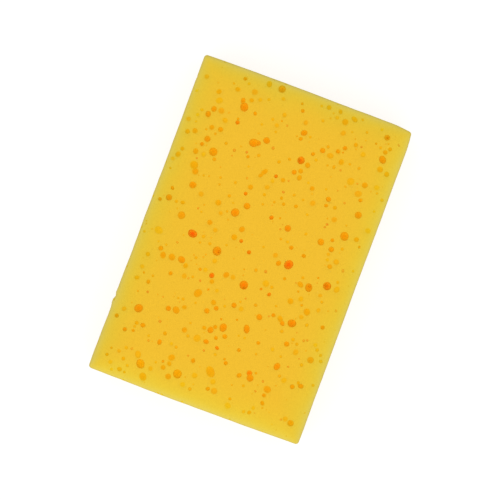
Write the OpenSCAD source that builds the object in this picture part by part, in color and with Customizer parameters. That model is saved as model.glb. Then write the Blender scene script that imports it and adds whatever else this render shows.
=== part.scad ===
// Household cleaning sponge: one block cut from a slab of open-cell foam.
//
// The foam rose with gas bubbles of many sizes in it, and each of the six
// cut faces opens the bubbles that it meets. A bubble whose middle lies
// above the cut leaves a shallow dish, and one whose middle lies below it
// leaves an undercut pit.
//
// The block lies on its underside. The origin is the middle of that face.

/* [Block] */
// Length of the block, along X
block_length = 150; // [100:1:220]
// Width of the block, along Y
block_width = 100; // [70:1:160]
// Height of the block, along Z
block_height = 40; // [20:1:80]

/* [Edges] */
// Radius of the four upright corners
corner_radius = 2.2; // [1.9:0.1:9]
// Radius of the worn edges round the top face and the underside
edge_radius = 1.5; // [0.5:0.1:1.8]

/* [Pores] */
// Radius of the smallest pore opening that is cut
pore_small = 0.9; // [0.7:0.05:1.2]
// Radius of the largest scattered pore opening
pore_large = 1.9; // [1.3:0.05:2.6]
// Thinnest web of foam between a scattered pore and the next one or a side
pore_web = 0.5; // [0.3:0.1:2]
// Bubbles that each 1000 mm2 of a face meets, before crowding ones are left out
pore_density = 17; // [2:0.5:22]
// Farthest that a bubble's middle lies above its face, as a share of its radius
dish_share = 0.5; // [0.1:0.05:0.7]
// Farthest that a bubble's middle lies below its face, as a share of its radius
pit_share = 0.4; // [0.1:0.05:0.7]
// Number of the layout, which gives the scattered pores their places
pore_layout = 41; // [1:1:9999]

/* [Hidden] */
$fn = 32;

foam_yellow = [0.95, 0.75, 0.19];

// The pores that give the top face its look, each as [x, y, radius of the
// opening] in mm on a face of this size, from its middle. They spread with
// the block.
LANDMARK_FACE = [150, 100];
deep_pits = [
    [-2.5, 27, 1.9], [-0.5, -18, 2], [-16, -2.5, 1.9], [-17, 12.5, 1.2], [-1.5, 0.5, 1],
    [45, -7, 1.7], [16.5, -3.5, 1], [-24.5, -28.5, 1.8], [2, 5.5, 0.9], [-46.5, -1, 0.9],
    [51, 25.5, 1], [-16, -14.5, 0.9], [22.5, 11, 0.9], [34.5, 1, 0.9], [-3.5, -37.5, 1.8],
    [-52, -18.5, 1.3],
];
pits = [
    [-42, 38, 1.9], [-37, -0.5, 1.7], [-15, 27.5, 1.5], [-7, -30, 1.8], [45, 15.5, 2],
    [45.5, 14, 1.4], [58.5, 25, 1.9], [61, 26.5, 1.2], [58, -41, 1.7], [14.5, -12, 1.5],
    [-54, -19.5, 1.6], [-54.5, -14.5, 1.1], [14, -28, 1.5], [31, -39.5, 1.5], [9, 42.5, 1.4],
    [18, 34.5, 1.5], [17.5, 8.5, 1.5], [-45, -29, 1.5], [-34, -29.5, 1.2], [-26, -24.5, 1.1],
    [-53, 24, 1.1], [-37.5, 25.5, 1.2], [-22.5, 30, 0.9], [-29.5, 38, 0.9], [72, 12, 1.6],
    [35, 31, 1.8], [53, 37.5, 1.2], [48, 10.5, 1.5], [57, -4, 1.4], [-45.5, 4.5, 1.1],
    [-63.5, 11.5, 2], [-65, 28.5, 2], [-6, 14, 2], [-49.5, -42, 1.2], [-40, 4.5, 1.4],
    [-21.5, -42, 1], [30, -24.5, 0.9], [33, -24.5, 1.2], [52.5, -14.5, 1.2], [57, -23.5, 1],
    [57.5, 19.5, 0.9], [39.5, 35.5, 1.3], [36.5, 37, 0.9], [50, 39, 1.3], [-1.5, -13.5, 1.2],
    [-27, -14, 1.3], [68, -39.5, 1.3], [12.5, -33.5, 1.3], [-62.5, -28.5, 1], [-59, -28, 0.9],
    [-55.5, 7, 1], [-51.5, -7, 1], [-42.5, 1, 0.9], [-40.5, -2.5, 1.1], [-48.5, 46, 1],
    [-53, 40.5, 1], [-24, -19.5, 0.9], [-30, 5.5, 1.1], [-32.5, 9, 1.2], [-26, -1.5, 1.2],
    [-13.5, 38, 1.1], [5.5, -23, 1], [37.5, -38, 0.9], [7, -16.5, 1], [13.5, 42.5, 0.9],
    [54.5, -21, 1], [39, -6, 1.1], [49.5, -11, 0.9], [54, -3.5, 0.9], [45.5, 31.5, 1.1],
    [-65, -3.5, 1], [66, 0, 0.9], [-48.5, 33.5, 1.1], [-51, -38.5, 1.1], [13, 12.5, 1.9],
    [20, -37, 1.9], [-34, -10.5, 1.6], [-66.5, -43.5, 1.4], [-38, 3, 0.9], [-44, -10.5, 0.9],
    [-38, -17.5, 0.9], [16.5, -32.5, 0.9], [7, 46, 0.9], [70.5, 29, 0.9],
];
dishes = [
    [-57.5, -2, 2.2], [-57.5, 16.5, 1.4], [-66, 15, 1.3], [-70, 25.5, 1.8], [-37, 22, 1.7],
    [-26.5, 15.5, 1.9], [3.5, 34.5, 1.8], [7, 7, 1.4], [2.5, 9, 1.4], [26.5, 37, 1.8],
    [24, 35.5, 1.4], [14.5, 21, 1.4], [-16, 36, 1.4], [-17.5, -33, 1.6], [-7, -26, 1.4],
    [-56, -28.5, 1.6], [-37, -42, 1.5], [34.5, 6.5, 1.4], [68, -19.5, 1.5], [70.5, -23, 1.4],
    [53.5, -41.5, 1.4], [-24.5, -23, 1.3], [-28, 7.5, 1.3], [44, -10.5, 1.3], [40.5, -8.5, 1.2],
    [71.5, -10.5, 1.2], [-15.5, -24.5, 1.4], [-14.5, 6.5, 1.4], [-19.5, 11.5, 1.2], [-15.5, 32, 1.5],
    [26, 10, 1.3], [32.5, 38.5, 1.3], [28.5, 45.5, 1.3], [44.5, -37.5, 1.4], [52.5, -45, 1.3],
    [72, 18, 1.3], [34, -2.5, 1.1], [-63, 18.5, 1.1], [-48.5, 23, 1], [65, 30.5, 1.1],
    [24, -6.5, 0.9], [-65.5, 36.5, 1], [25, 3, 0.9], [25, -12, 1], [61, 38, 1.2],
    [41, 2, 0.9], [19, 17.5, 0.9], [-17, 25, 1.1], [50.5, -24, 1.2], [-60.5, 16.5, 1],
    [9, 36, 1], [-48.5, 36.5, 1], [-44, 15.5, 1.2], [20.5, -42.5, 1.2], [-34.5, 19, 1.1],
    [45, 35.5, 1.1], [-18, 42.5, 1.1], [5, 21.5, 1.2], [41, 42, 1.2], [35, -16, 1.2],
    [5, -35.5, 1.2], [-70.5, 36.5, 1.2], [-40, 7.5, 1], [-68.5, -24.5, 1], [-48.5, -40.5, 0.9],
    [-29.5, 43.5, 1], [32.5, 7.5, 1.1], [31.5, 44.5, 1], [37.5, -9, 1.3], [30.5, -28.5, 1],
    [39.5, 45, 1.2], [62.5, 23, 1.1], [71.5, -16, 1.1], [60, -27.5, 1], [61.5, -41, 1.1],
    [63.5, -42.5, 1],
];
shallow_dishes = [
    [28.5, 3, 1.3], [-3.5, -42, 1.5], [-45.5, 9, 1.5], [25.5, -30, 1.2], [-61.5, 31, 1.7],
    [66.5, 23, 1.4], [-44.5, 44, 1.3], [-61.5, 4, 1.3], [51.5, -18.5, 1.4], [61.5, -3, 1.2],
    [40, -36, 1.5], [65.5, 45.5, 1.3], [44, -31, 1.7], [50, 31, 1.3], [8, -37.5, 1.4],
    [-12, -11.5, 1.5], [53.5, 34, 1.3], [-69, -14.5, 1.6], [-65, -6.5, 1.6], [57.5, 36.5, 1.4],
    [68.5, -15.5, 1.1], [-49.5, -34, 1.2], [-65.5, -40.5, 1.1], [-24, 43, 1.1], [-21.5, 24, 1.1],
    [-22.5, 8, 1.1], [-10.5, 13.5, 1.3], [-14.5, 3.5, 1.1], [-26.5, -5, 1.1], [-36, -34.5, 1.2],
    [-8.5, -36, 1.1], [2.5, 18, 1.2], [15.5, 29.5, 1.1], [1.5, -11, 1.3], [29, -18.5, 1.4],
    [7.5, -33.5, 1], [10, -33, 1], [26, -46, 1.2], [45, 46.5, 1.2], [64, 19.5, 1.1],
    [56, 8.5, 1.1], [61.5, 7, 1.3], [63, -20.5, 1.3], [57, -32, 1.2], [-2, 22, 1],
    [-69, 41.5, 1.1], [-13, -28.5, 1.3], [-20.5, -31.5, 1.1], [-15, -37.5, 1.1], [-65.5, 23.5, 1.1],
    [-15.5, 16, 1.1], [26, 47, 1.1], [58, 47.5, 0.9], [68, 10, 1], [10.5, 18.5, 1.1],
    [-66, -25.5, 1], [-69, -22, 1], [-38.5, -24.5, 1], [-60.5, 37, 1], [-63, 39.5, 1],
];
// How far a chosen pore's middle lies below the face, as a share of its radius
deep_pit_share = 0.45;
pit_middle_share = 0.2;
dish_middle_share = -0.3;
shallow_dish_share = -0.6;

// A random number's successor, and a list of them from 0 to 1
PRIME = 2147483647;
function next(number) = number * 16807 % PRIME;
function draws(seed, count) =
    [for (i = 0, x = next(next(seed)); i < count; i = i + 1, x = next(x)) x / PRIME];

// A pore is [x, y, radius of its opening, depth of its bubble's middle as a
// share of the bubble's radius].
function bubble_radius(pore) = pore.z / sqrt(1 - pore[3] * pore[3]);

// The bubbles that a face meets, small ones being commoner than large ones
function scattered(face, count, seed) =
    let (u = draws(seed, 4 * count))
    [for (i = [0 : 4 : 4 * count - 4])
        let (
            radius = pore_small + (pore_large - pore_small) * u[i] * u[i],
            share = (dish_share + pit_share) * u[i + 1] - dish_share,
            reach = bubble_radius([0, 0, radius, share]) + pore_web
        )
        [
            (2 * u[i + 2] - 1) * (face.x / 2 - reach),
            (2 * u[i + 3] - 1) * (face.y / 2 - reach),
            radius,
            share
        ]];

// Whether pore i of a list leaves a web of foam to every pore before it
function stands_clear(pores, i) =
    [for (j = [0 : 1 : i - 1])
        let (apart = norm([pores[i].x - pores[j].x, pores[i].y - pores[j].y]))
        if (apart < pores[i].z + pores[j].z + pore_web) j] == [];

// The pores of a face: the chosen ones, and scattered ones that don't crowd
function face_pores(face, seed, chosen = []) =
    let (
        count = max(0, ceil(face.x * face.y * pore_density / 1000) - len(chosen)),
        pores = concat(chosen, scattered(face, count, seed))
    )
    [for (i = [0 : len(pores) - 1]) if (i < len(chosen) || stands_clear(pores, i)) pores[i]];

// Chosen pores of one depth, spread over the top face
function landmarks(pores, share) =
    [for (p = pores)
        [p.x * block_length / LANDMARK_FACE.x, p.y * block_width / LANDMARK_FACE.y, p.z, share]];

top_face = [block_length, block_width];
long_side = [block_length, block_height];
short_side = [block_width, block_height];
top_landmarks = concat(
    landmarks(deep_pits, deep_pit_share),
    landmarks(pits, pit_middle_share),
    landmarks(dishes, dish_middle_share),
    landmarks(shallow_dishes, shallow_dish_share)
);

// Outline of the block seen from a side, with its worn edges
module side_outline(width) {
    translate([-width / 2, edge_radius]) square([width, block_height - 2 * edge_radius]);
    translate([-width / 2 + edge_radius, 0]) square([width - 2 * edge_radius, block_height]);
    for (x = [-1, 1], z = [edge_radius, block_height - edge_radius])
        translate([x * (width / 2 - edge_radius), z]) circle(edge_radius);
}

// One upright corner: a post whose rims are worn as the edges beside it are
module corner_post() {
    rotate_extrude()
        intersection() {
            side_outline(2 * corner_radius);
            square([corner_radius, block_height]);
        }
}

// The block as it is cut, before its bubbles are opened
module block() {
    straight_length = block_length - 2 * corner_radius;
    straight_width = block_width - 2 * corner_radius;
    rotate([90, 0, 90]) linear_extrude(straight_length, center = true) side_outline(block_width);
    rotate([90, 0, 0]) linear_extrude(straight_width, center = true) side_outline(block_length);
    for (x = [-1, 1], y = [-1, 1])
        translate([x * straight_length / 2, y * straight_width / 2, 0]) corner_post();
}

// The bubbles behind a face that lies at z = 0, with the foam below it
module bubbles(pores) {
    for (p = pores)
        translate([p.x, p.y, -p[3] * bubble_radius(p)]) sphere(bubble_radius(p));
}

// The bubbles of one upright side, which faces the way that turn gives
module side_bubbles(face, distance, turn, seed) {
    rotate([0, 0, turn]) translate([0, -distance, block_height / 2]) rotate([90, 0, 0])
        bubbles(face_pores(face, seed));
}

module sponge() {
    color(foam_yellow)
        difference() {
            block();
            translate([0, 0, block_height]) bubbles(face_pores(top_face, pore_layout, top_landmarks));
            rotate([180, 0, 0]) bubbles(face_pores(top_face, pore_layout + 1));
            side_bubbles(long_side, block_width / 2, 0, pore_layout + 2);
            side_bubbles(long_side, block_width / 2, 180, pore_layout + 3);
            side_bubbles(short_side, block_length / 2, 90, pore_layout + 4);
            side_bubbles(short_side, block_length / 2, 270, pore_layout + 5);
        }
}

sponge();
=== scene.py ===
"""Looks of a household cleaning sponge: one block cut from a slab of open-cell foam.

The foam rose with gas bubbles of many sizes in it, and each cut face opens the
bubbles that it meets. The classes follow the foam's own making:

* CutFace says where one cut face lies and which way it looks.
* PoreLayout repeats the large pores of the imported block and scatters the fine
  pores, the pores of the edges and the pores inside pores between them. Draws
  gives it the same random numbers each time.
* FoamBlock makes the block before its bubbles are opened, a little out of true.
* BubbleCutter opens the bubbles with a tree of geometry nodes.
* SkinFinish and LiningFinish are the finishes of the cut skin and of the pores.
* SurfaceMap lays the surface flat, by what Corners finds on it.
* CleaningSponge puts these together into one piece.
* Studio is the pale floor, the lamp and the camera.
"""

from __future__ import annotations

import logging
import math
from dataclasses import dataclass, field, replace
from enum import Enum, IntEnum
from itertools import product
from typing import Any, Iterator, Sequence, Union

import bmesh
import bpy
import numpy as np
from mathutils import Matrix, Vector, noise

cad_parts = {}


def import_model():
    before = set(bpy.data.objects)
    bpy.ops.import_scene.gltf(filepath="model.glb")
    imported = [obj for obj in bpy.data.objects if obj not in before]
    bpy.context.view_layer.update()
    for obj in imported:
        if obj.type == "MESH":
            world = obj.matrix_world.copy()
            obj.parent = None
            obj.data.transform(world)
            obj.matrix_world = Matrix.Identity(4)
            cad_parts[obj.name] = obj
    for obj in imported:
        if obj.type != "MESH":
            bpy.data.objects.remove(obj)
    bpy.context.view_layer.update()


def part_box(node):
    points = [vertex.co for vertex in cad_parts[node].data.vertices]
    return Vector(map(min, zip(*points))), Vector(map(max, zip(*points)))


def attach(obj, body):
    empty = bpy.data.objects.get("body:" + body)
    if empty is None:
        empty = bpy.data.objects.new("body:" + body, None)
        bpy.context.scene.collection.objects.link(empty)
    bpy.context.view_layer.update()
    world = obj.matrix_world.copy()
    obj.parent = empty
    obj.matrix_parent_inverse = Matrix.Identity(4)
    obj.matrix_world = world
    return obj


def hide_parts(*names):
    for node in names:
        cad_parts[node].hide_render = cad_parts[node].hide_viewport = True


log = logging.getLogger("cleaning_sponge")

MM = 0.001
CAD_NODE = "sponge"
PIECE = "sponge_foam"
BODY = "root"

# The number of the top face, and the number that stands for no face and no pore.
TOP = 0
NONE = -1

Colour = tuple[float, float, float]
Point = tuple[float, float, float]


# --- Nodes ---------------------------------------------------------------------------


class Wire:
    """An output socket. Python's operators on it add Math nodes."""

    def __init__(self, nodes: NodeMaker, socket: bpy.types.NodeSocket) -> None:
        """Keeps the socket and the maker of its tree."""
        self.nodes = nodes
        self.socket = socket

    def maths(self, operation: str, *values: Operand) -> Wire:
        """The result of a Math node on these values."""
        return self.nodes.maths(operation, *values)

    def __add__(self, other: Operand) -> Wire:
        """self + other."""
        return self.maths("ADD", self, other)

    def __radd__(self, other: Operand) -> Wire:
        """other + self."""
        return self.maths("ADD", other, self)

    def __sub__(self, other: Operand) -> Wire:
        """self - other."""
        return self.maths("SUBTRACT", self, other)

    def __rsub__(self, other: Operand) -> Wire:
        """other - self."""
        return self.maths("SUBTRACT", other, self)

    def __mul__(self, other: Operand) -> Wire:
        """self * other."""
        return self.maths("MULTIPLY", self, other)

    def __rmul__(self, other: Operand) -> Wire:
        """other * self."""
        return self.maths("MULTIPLY", other, self)

    def __gt__(self, other: Operand) -> Wire:
        """1 where self is over other, and 0 elsewhere."""
        return self.maths("GREATER_THAN", self, other)

    def __abs__(self) -> Wire:
        """self without its sign."""
        return self.maths("ABSOLUTE", self)

    def least(self, other: Operand) -> Wire:
        """The smaller of the two."""
        return self.maths("MINIMUM", self, other)

    def most(self, other: Operand) -> Wire:
        """The larger of the two."""
        return self.maths("MAXIMUM", self, other)


Operand = Union[Wire, float]


class NodeMaker:
    """Adds nodes to one tree, of shaders or of geometry."""

    def __init__(self, tree: bpy.types.NodeTree) -> None:
        """Keeps the tree."""
        self.tree = tree

    @staticmethod
    def _socket(sockets: Any, key: str | int) -> bpy.types.NodeSocket:
        """Finds a socket.

        Args:
            sockets: A node's inputs or outputs.
            key: The socket's number, its identifier or its name.

        Returns:
            The socket.
        """
        if isinstance(key, int):
            return sockets[key]
        by_identifier = [s for s in sockets if s.identifier == key]
        return by_identifier[0] if by_identifier else sockets[key]

    def add(
        self, kind: str, settings: dict[str, Any] | None = None, *numbered: Any, **named: Any
    ) -> bpy.types.Node:
        """Adds a node.

        Args:
            kind: The node's type.
            settings: Its properties, which are set before its sockets.
            *numbered: Values or wires of its first sockets, in their order.
            **named: Values or wires by socket, where _ stands for a space.

        Returns:
            The new node.
        """
        node = self.tree.nodes.new(kind)
        for name, value in (settings or {}).items():
            setattr(node, name, value)
        for number, value in enumerate(numbered):
            self.feed(node, number, value)
        for key, value in named.items():
            self.feed(node, key.replace("_", " "), value)
        return node

    def feed(self, node: bpy.types.Node, key: str | int, value: Any) -> None:
        """Links a wire to a node's input, or sets its value.

        Args:
            node: The node.
            key: The input's number, its identifier or its name.
            value: The wire, or the value.
        """
        socket = self._socket(node.inputs, key)
        if isinstance(value, Wire):
            self.tree.links.new(value.socket, socket)
        else:
            socket.default_value = value

    def out(self, node: bpy.types.Node, key: str | int = 0) -> Wire:
        """One of a node's outputs."""
        return Wire(self, self._socket(node.outputs, key))

    def maths(self, operation: str, *values: Operand) -> Wire:
        """The result of a Math node on one, two or three values."""
        return self.out(self.add("ShaderNodeMath", {"operation": operation}, *values))

    def vector(self, operation: str, *values: Any, **named: Any) -> Wire:
        """The result of a Vector Math node on one or two vectors."""
        return self.out(self.add("ShaderNodeVectorMath", {"operation": operation}, *values, **named))

    def ramp(self, value: Wire, start: Operand, end: Operand) -> Wire:
        """A smooth rise from 0 to 1.

        Args:
            value: What rises or falls.
            start: The value at which the rise begins.
            end: The value at which it is done.

        Returns:
            The rise.
        """
        settings = {"interpolation_type": "SMOOTHSTEP"}
        node = self.add("ShaderNodeMapRange", settings, Value=value, From_Min=start, From_Max=end)
        return self.out(node, "Result")

    def blend(self, share: Operand, first: Any, second: Any, way: str = "MIX") -> Wire:
        """A colour between two colours.

        Args:
            share: How much of the second there is.
            first: A colour, as a wire or as numbers.
            second: The other colour.
            way: Blender's name for how the two mix.

        Returns:
            The mixed colour.
        """
        node = self.add("ShaderNodeMix", {"data_type": "RGBA", "blend_type": way})
        given = {"Factor_Float": share, "A_Color": first, "B_Color": second}
        for key, value in given.items():
            whole = (*value, 1.0) if isinstance(value, tuple) else value
            self.feed(node, key, whole)
        return self.out(node, "Result_Color")

    def parts(self, vector: Wire) -> tuple[Wire, Wire, Wire]:
        """The three numbers of a vector."""
        node = self.add("ShaderNodeSeparateXYZ", Vector=vector)
        return self.out(node, 0), self.out(node, 1), self.out(node, 2)


# --- The cut faces and their pores ---------------------------------------------------


@dataclass(frozen=True)
class CutFace:
    """One cut face of the block, in metres.

    A point of the face is middle + x * across + y * along, and the foam lies on
    the other side of it from outward.

    Attributes:
        name: The face's name.
        middle: Its middle.
        across, along: The directions of its two sides.
        width, height: Its size along these.
        layout: The number of its layout of pores.
    """

    name: str
    middle: Point
    across: Point
    along: Point
    width: float
    height: float
    layout: int

    @property
    def axes(self) -> np.ndarray:
        """The face's own axes as rows: across, along and outward."""
        outward = np.cross(self.across, self.along)
        return np.array([self.across, self.along, outward], float)

    def place(self, x: float, y: float, z: float) -> np.ndarray:
        """A point x across and y along the face, and z out of it."""
        return np.array(self.middle) + np.array([x, y, z]) @ self.axes


def cut_faces(length: float, width: float, height: float) -> list[CutFace]:
    """The six faces of a block that stands on the origin.

    Args:
        length: The block's length, along X.
        width: Its width, along Y.
        height: Its height, along Z.

    Returns:
        The top, the underside, and the four upright sides, each with the number
        of its layout of pores.
    """
    side = height / 2
    x, y, z = (1, 0, 0), (0, 1, 0), (0, 0, 1)
    minus_x, minus_y = (-1, 0, 0), (0, -1, 0)
    return [
        CutFace("top", (0, 0, height), x, y, length, width, 0),
        CutFace("underside", (0, 0, 0), x, minus_y, length, width, 1),
        CutFace("front", (0, -width / 2, side), x, z, length, height, 2),
        CutFace("back", (0, width / 2, side), minus_x, z, length, height, 3),
        CutFace("right", (length / 2, 0, side), y, z, width, height, 4),
        CutFace("left", (-length / 2, 0, side), minus_y, z, width, height, 5),
    ]


class Draws:
    """Random numbers from 0 to 1, the same ones as in the block's construction."""

    MODULUS = 2147483647
    FACTOR = 16807
    LEFT_OUT = 2

    def __init__(self, seed: int) -> None:
        """Starts a row of numbers, whose first two are left out.

        Args:
            seed: The number that the row follows from.
        """
        self.state = seed
        for _ in range(self.LEFT_OUT):
            self._step()

    def _step(self) -> None:
        """Moves on to the next number."""
        self.state = self.state * self.FACTOR % self.MODULUS

    def share(self) -> float:
        """The next number."""
        found = self.state / self.MODULUS
        self._step()
        return found

    def between(self, low: float, high: float) -> float:
        """The next number, spread from low to high."""
        return low + (high - low) * self.share()


class Row(IntEnum):
    """What a row of random numbers is for. Its number sets it apart from the others."""

    PLACES = 1
    SMALL_LOOKS = 50
    LOOKS = 100
    FINE_PORES = 1000
    EDGE_PORES = 10000
    INNER_PORES = 100000


class Depth(Enum):
    """How far a bubble's middle lies below its face, as a share of its radius."""

    DEEP_PIT = 0.45
    PIT = 0.2
    DISH = -0.3
    SHALLOW_DISH = -0.6


@dataclass
class Pore:
    """One bubble that a face meets, in metres.

    Attributes:
        x, y: The middle of the opening on the face.
        opening: The radius of the opening.
        share: The depth of the bubble's middle as a share of its radius.
        face: The number of the face, or NONE on an edge.
        tone: How much redder the lining is than usual, most often from -1 to 1.
        rust: 1 for a brownish speck, and 0 for plain foam.
        stretch: How many times as long as wide it is.
        turn: The way in which it is stretched, in radians from across.
        middle: The bubble's middle, where that isn't on the face's normal.
        inside: The number of the pore in whose wall this one opens, or NONE.
    """

    x: float
    y: float
    opening: float
    share: float
    face: int
    tone: float = 0.0
    rust: float = 0.0
    stretch: float = 1.0
    turn: float = 0.0
    middle: np.ndarray | None = None
    inside: int = NONE

    @property
    def radius(self) -> float:
        """The bubble's own radius."""
        return self.opening / math.sqrt(1 - self.share * self.share)

    @property
    def squeeze(self) -> np.ndarray:
        """The matrix that makes the stretched opening round again."""
        root = math.sqrt(self.stretch)
        across, along = math.cos(self.turn), math.sin(self.turn)
        return np.array([[across / root, along / root], [-along * root, across * root]])


@dataclass(frozen=True)
class PoreLayout:
    """Where the bubbles lie. Sizes are in millimetres, as in the block's construction.

    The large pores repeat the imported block's own, by the same rule and from the
    same numbers. The fine ones fill the foam between them. A chosen pore is given
    by its place on the top face, across and along, and by its opening's radius.

    Attributes:
        small, large: The least and the greatest radius of a strewn large pore.
        web: The foam that is left between two large pores.
        density: How many large pores are tried on each patch of a face.
        patch: The area of a patch.
        dish_share, pit_share: How far above and below the face the middle of a
            strewn large bubble may lie, as shares of its radius.
        layout: The number from which all the random ones follow.
        landmark_face: The size of the top face that the chosen places are for.
        deep_pits, pits, dishes, shallow_dishes: The chosen large pores, by depth.
        specks, pinholes, faint_pores: The chosen small pores: the brownish ones,
            the plain ones and the shallow ones.
        drawn_out: Chosen pores that are longer than wide, each by its place, its
            stretch and the direction of it in degrees.
        chosen_tones: Chosen pores with a tone of their own, each by its place.
        inner_pores: The chosen pores in the walls of the top's large pits.
        fine_small, fine_large, fine_web, fine_density: The same of the fine pores.
        fine_shares: The least and the greatest depth of a fine bubble's middle, as
            shares of its radius.
        fine_room: How many radii a fine pore keeps from the sides of its face.
        filler_large, filler_density, filler_shares: The same on the top face, whose
            fine pores only fill the gaps between its chosen small ones.
        rust_share: The share of the fine pores that are brownish.
        speck_share, pinhole_share, faint_share: The depths of the chosen small pores.
        quiet_tone: The tone of the top's strewn large pores.
        edge_spacing: How far apart the pores along an edge are.
        edge_small, edge_large: The least and the greatest radius of their openings.
        edge_depth: How far inside the edge a bubble's middle may lie.
        edge_run: How far along the edge from its middle, as a share of its length.
        inner_least: The radius from which a pore may have others in its wall.
        inner_share: The share of such pores that have one.
        inner_away, inner_sizes: How far it is from their middle and its radius, the
            least and the greatest, as shares of their opening's radius.
        inner_tone: Its tone.
        longest: How much longer than wide a pore may be, as a share.
        lip_least: The radius from which a pore has a lip.
        lip_width, lip_share: How far the lip reaches past the rim, and its depth.
    """

    small: float = 0.9
    large: float = 1.9
    web: float = 0.5
    density: float = 17
    patch: float = 1000
    dish_share: float = 0.5
    pit_share: float = 0.4
    layout: int = 41
    landmark_face: tuple[float, float] = (150, 100)
    deep_pits: Sequence[Point] = (
        (-2.5, 27, 1.9), (-0.5, -18, 2), (-16, -2.5, 1.9), (-17, 12.5, 1.2), (-1.5, 0.5, 1),
        (45, -7, 1.7), (16.5, -3.5, 1), (-24.5, -28.5, 1.8), (2, 5.5, 0.9), (-46.5, -1, 0.9),
        (51, 25.5, 1), (-16, -14.5, 0.9), (22.5, 11, 0.9), (34.5, 1, 0.9), (-3.5, -37.5, 1.8),
        (-52, -18.5, 1.3),
    )
    pits: Sequence[Point] = (
        (-42, 38, 1.9), (-37, -0.5, 1.7), (-15, 27.5, 1.5), (-7, -30, 1.8), (45, 15.5, 2),
        (45.5, 14, 1.4), (58.5, 25, 1.9), (61, 26.5, 1.2), (58, -41, 1.7), (14.5, -12, 1.5),
        (-54, -19.5, 1.6), (-54.5, -14.5, 1.1), (14, -28, 1.5), (31, -39.5, 1.5), (9, 42.5, 1.4),
        (18, 34.5, 1.5), (17.5, 8.5, 1.5), (-45, -29, 1.5), (-34, -29.5, 1.2), (-26, -24.5, 1.1),
        (-53, 24, 1.1), (-37.5, 25.5, 1.2), (-22.5, 30, 0.9), (-29.5, 38, 0.9), (72, 12, 1.6),
        (35, 31, 1.8), (53, 37.5, 1.2), (48, 10.5, 1.5), (57, -4, 1.4), (-45.5, 4.5, 1.1),
        (-63.5, 11.5, 2), (-65, 28.5, 2), (-6, 14, 2), (-49.5, -42, 1.2), (-40, 4.5, 1.4),
        (-21.5, -42, 1), (30, -24.5, 0.9), (33, -24.5, 1.2), (52.5, -14.5, 1.2), (57, -23.5, 1),
        (57.5, 19.5, 0.9), (39.5, 35.5, 1.3), (36.5, 37, 0.9), (50, 39, 1.3), (-1.5, -13.5, 1.2),
        (-27, -14, 1.3), (68, -39.5, 1.3), (12.5, -33.5, 1.3), (-62.5, -28.5, 1), (-59, -28, 0.9),
        (-55.5, 7, 1), (-51.5, -7, 1), (-42.5, 1, 0.9), (-40.5, -2.5, 1.1), (-48.5, 46, 1),
        (-53, 40.5, 1), (-24, -19.5, 0.9), (-30, 5.5, 1.1), (-32.5, 9, 1.2), (-26, -1.5, 1.2),
        (-13.5, 38, 1.1), (5.5, -23, 1), (37.5, -38, 0.9), (7, -16.5, 1), (13.5, 42.5, 0.9),
        (54.5, -21, 1), (39, -6, 1.1), (49.5, -11, 0.9), (54, -3.5, 0.9), (45.5, 31.5, 1.1),
        (-65, -3.5, 1), (66, 0, 0.9), (-48.5, 33.5, 1.1), (-51, -38.5, 1.1), (13, 12.5, 1.9),
        (20, -37, 1.9), (-34, -10.5, 1.6), (-66.5, -43.5, 1.4), (-38, 3, 0.9), (-44, -10.5, 0.9),
        (-38, -17.5, 0.9), (16.5, -32.5, 0.9), (7, 46, 0.9), (70.5, 29, 0.9),
    )
    dishes: Sequence[Point] = (
        (-57.5, -2, 2.2), (-57.5, 16.5, 1.4), (-66, 15, 1.3), (-70, 25.5, 1.8), (-37, 22, 1.7),
        (-26.5, 15.5, 1.9), (3.5, 34.5, 1.8), (7, 7, 1.4), (2.5, 9, 1.4), (26.5, 37, 1.8),
        (24, 35.5, 1.4), (14.5, 21, 1.4), (-16, 36, 1.4), (-17.5, -33, 1.6), (-7, -26, 1.4),
        (-56, -28.5, 1.6), (-37, -42, 1.5), (34.5, 6.5, 1.4), (68, -19.5, 1.5), (70.5, -23, 1.4),
        (53.5, -41.5, 1.4), (-24.5, -23, 1.3), (-28, 7.5, 1.3), (44, -10.5, 1.3), (40.5, -8.5, 1.2),
        (71.5, -10.5, 1.2), (-15.5, -24.5, 1.4), (-14.5, 6.5, 1.4), (-19.5, 11.5, 1.2), (-15.5, 32, 1.5),
        (26, 10, 1.3), (32.5, 38.5, 1.3), (28.5, 45.5, 1.3), (44.5, -37.5, 1.4), (52.5, -45, 1.3),
        (72, 18, 1.3), (34, -2.5, 1.1), (-63, 18.5, 1.1), (-48.5, 23, 1), (65, 30.5, 1.1),
        (24, -6.5, 0.9), (-65.5, 36.5, 1), (25, 3, 0.9), (25, -12, 1), (61, 38, 1.2),
        (41, 2, 0.9), (19, 17.5, 0.9), (-17, 25, 1.1), (50.5, -24, 1.2), (-60.5, 16.5, 1),
        (9, 36, 1), (-48.5, 36.5, 1), (-44, 15.5, 1.2), (20.5, -42.5, 1.2), (-34.5, 19, 1.1),
        (45, 35.5, 1.1), (-18, 42.5, 1.1), (5, 21.5, 1.2), (41, 42, 1.2), (35, -16, 1.2),
        (5, -35.5, 1.2), (-70.5, 36.5, 1.2), (-40, 7.5, 1), (-68.5, -24.5, 1), (-48.5, -40.5, 0.9),
        (-29.5, 43.5, 1), (32.5, 7.5, 1.1), (31.5, 44.5, 1), (37.5, -9, 1.3), (30.5, -28.5, 1),
        (39.5, 45, 1.2), (62.5, 23, 1.1), (71.5, -16, 1.1), (60, -27.5, 1), (61.5, -41, 1.1),
        (63.5, -42.5, 1),
    )
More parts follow.
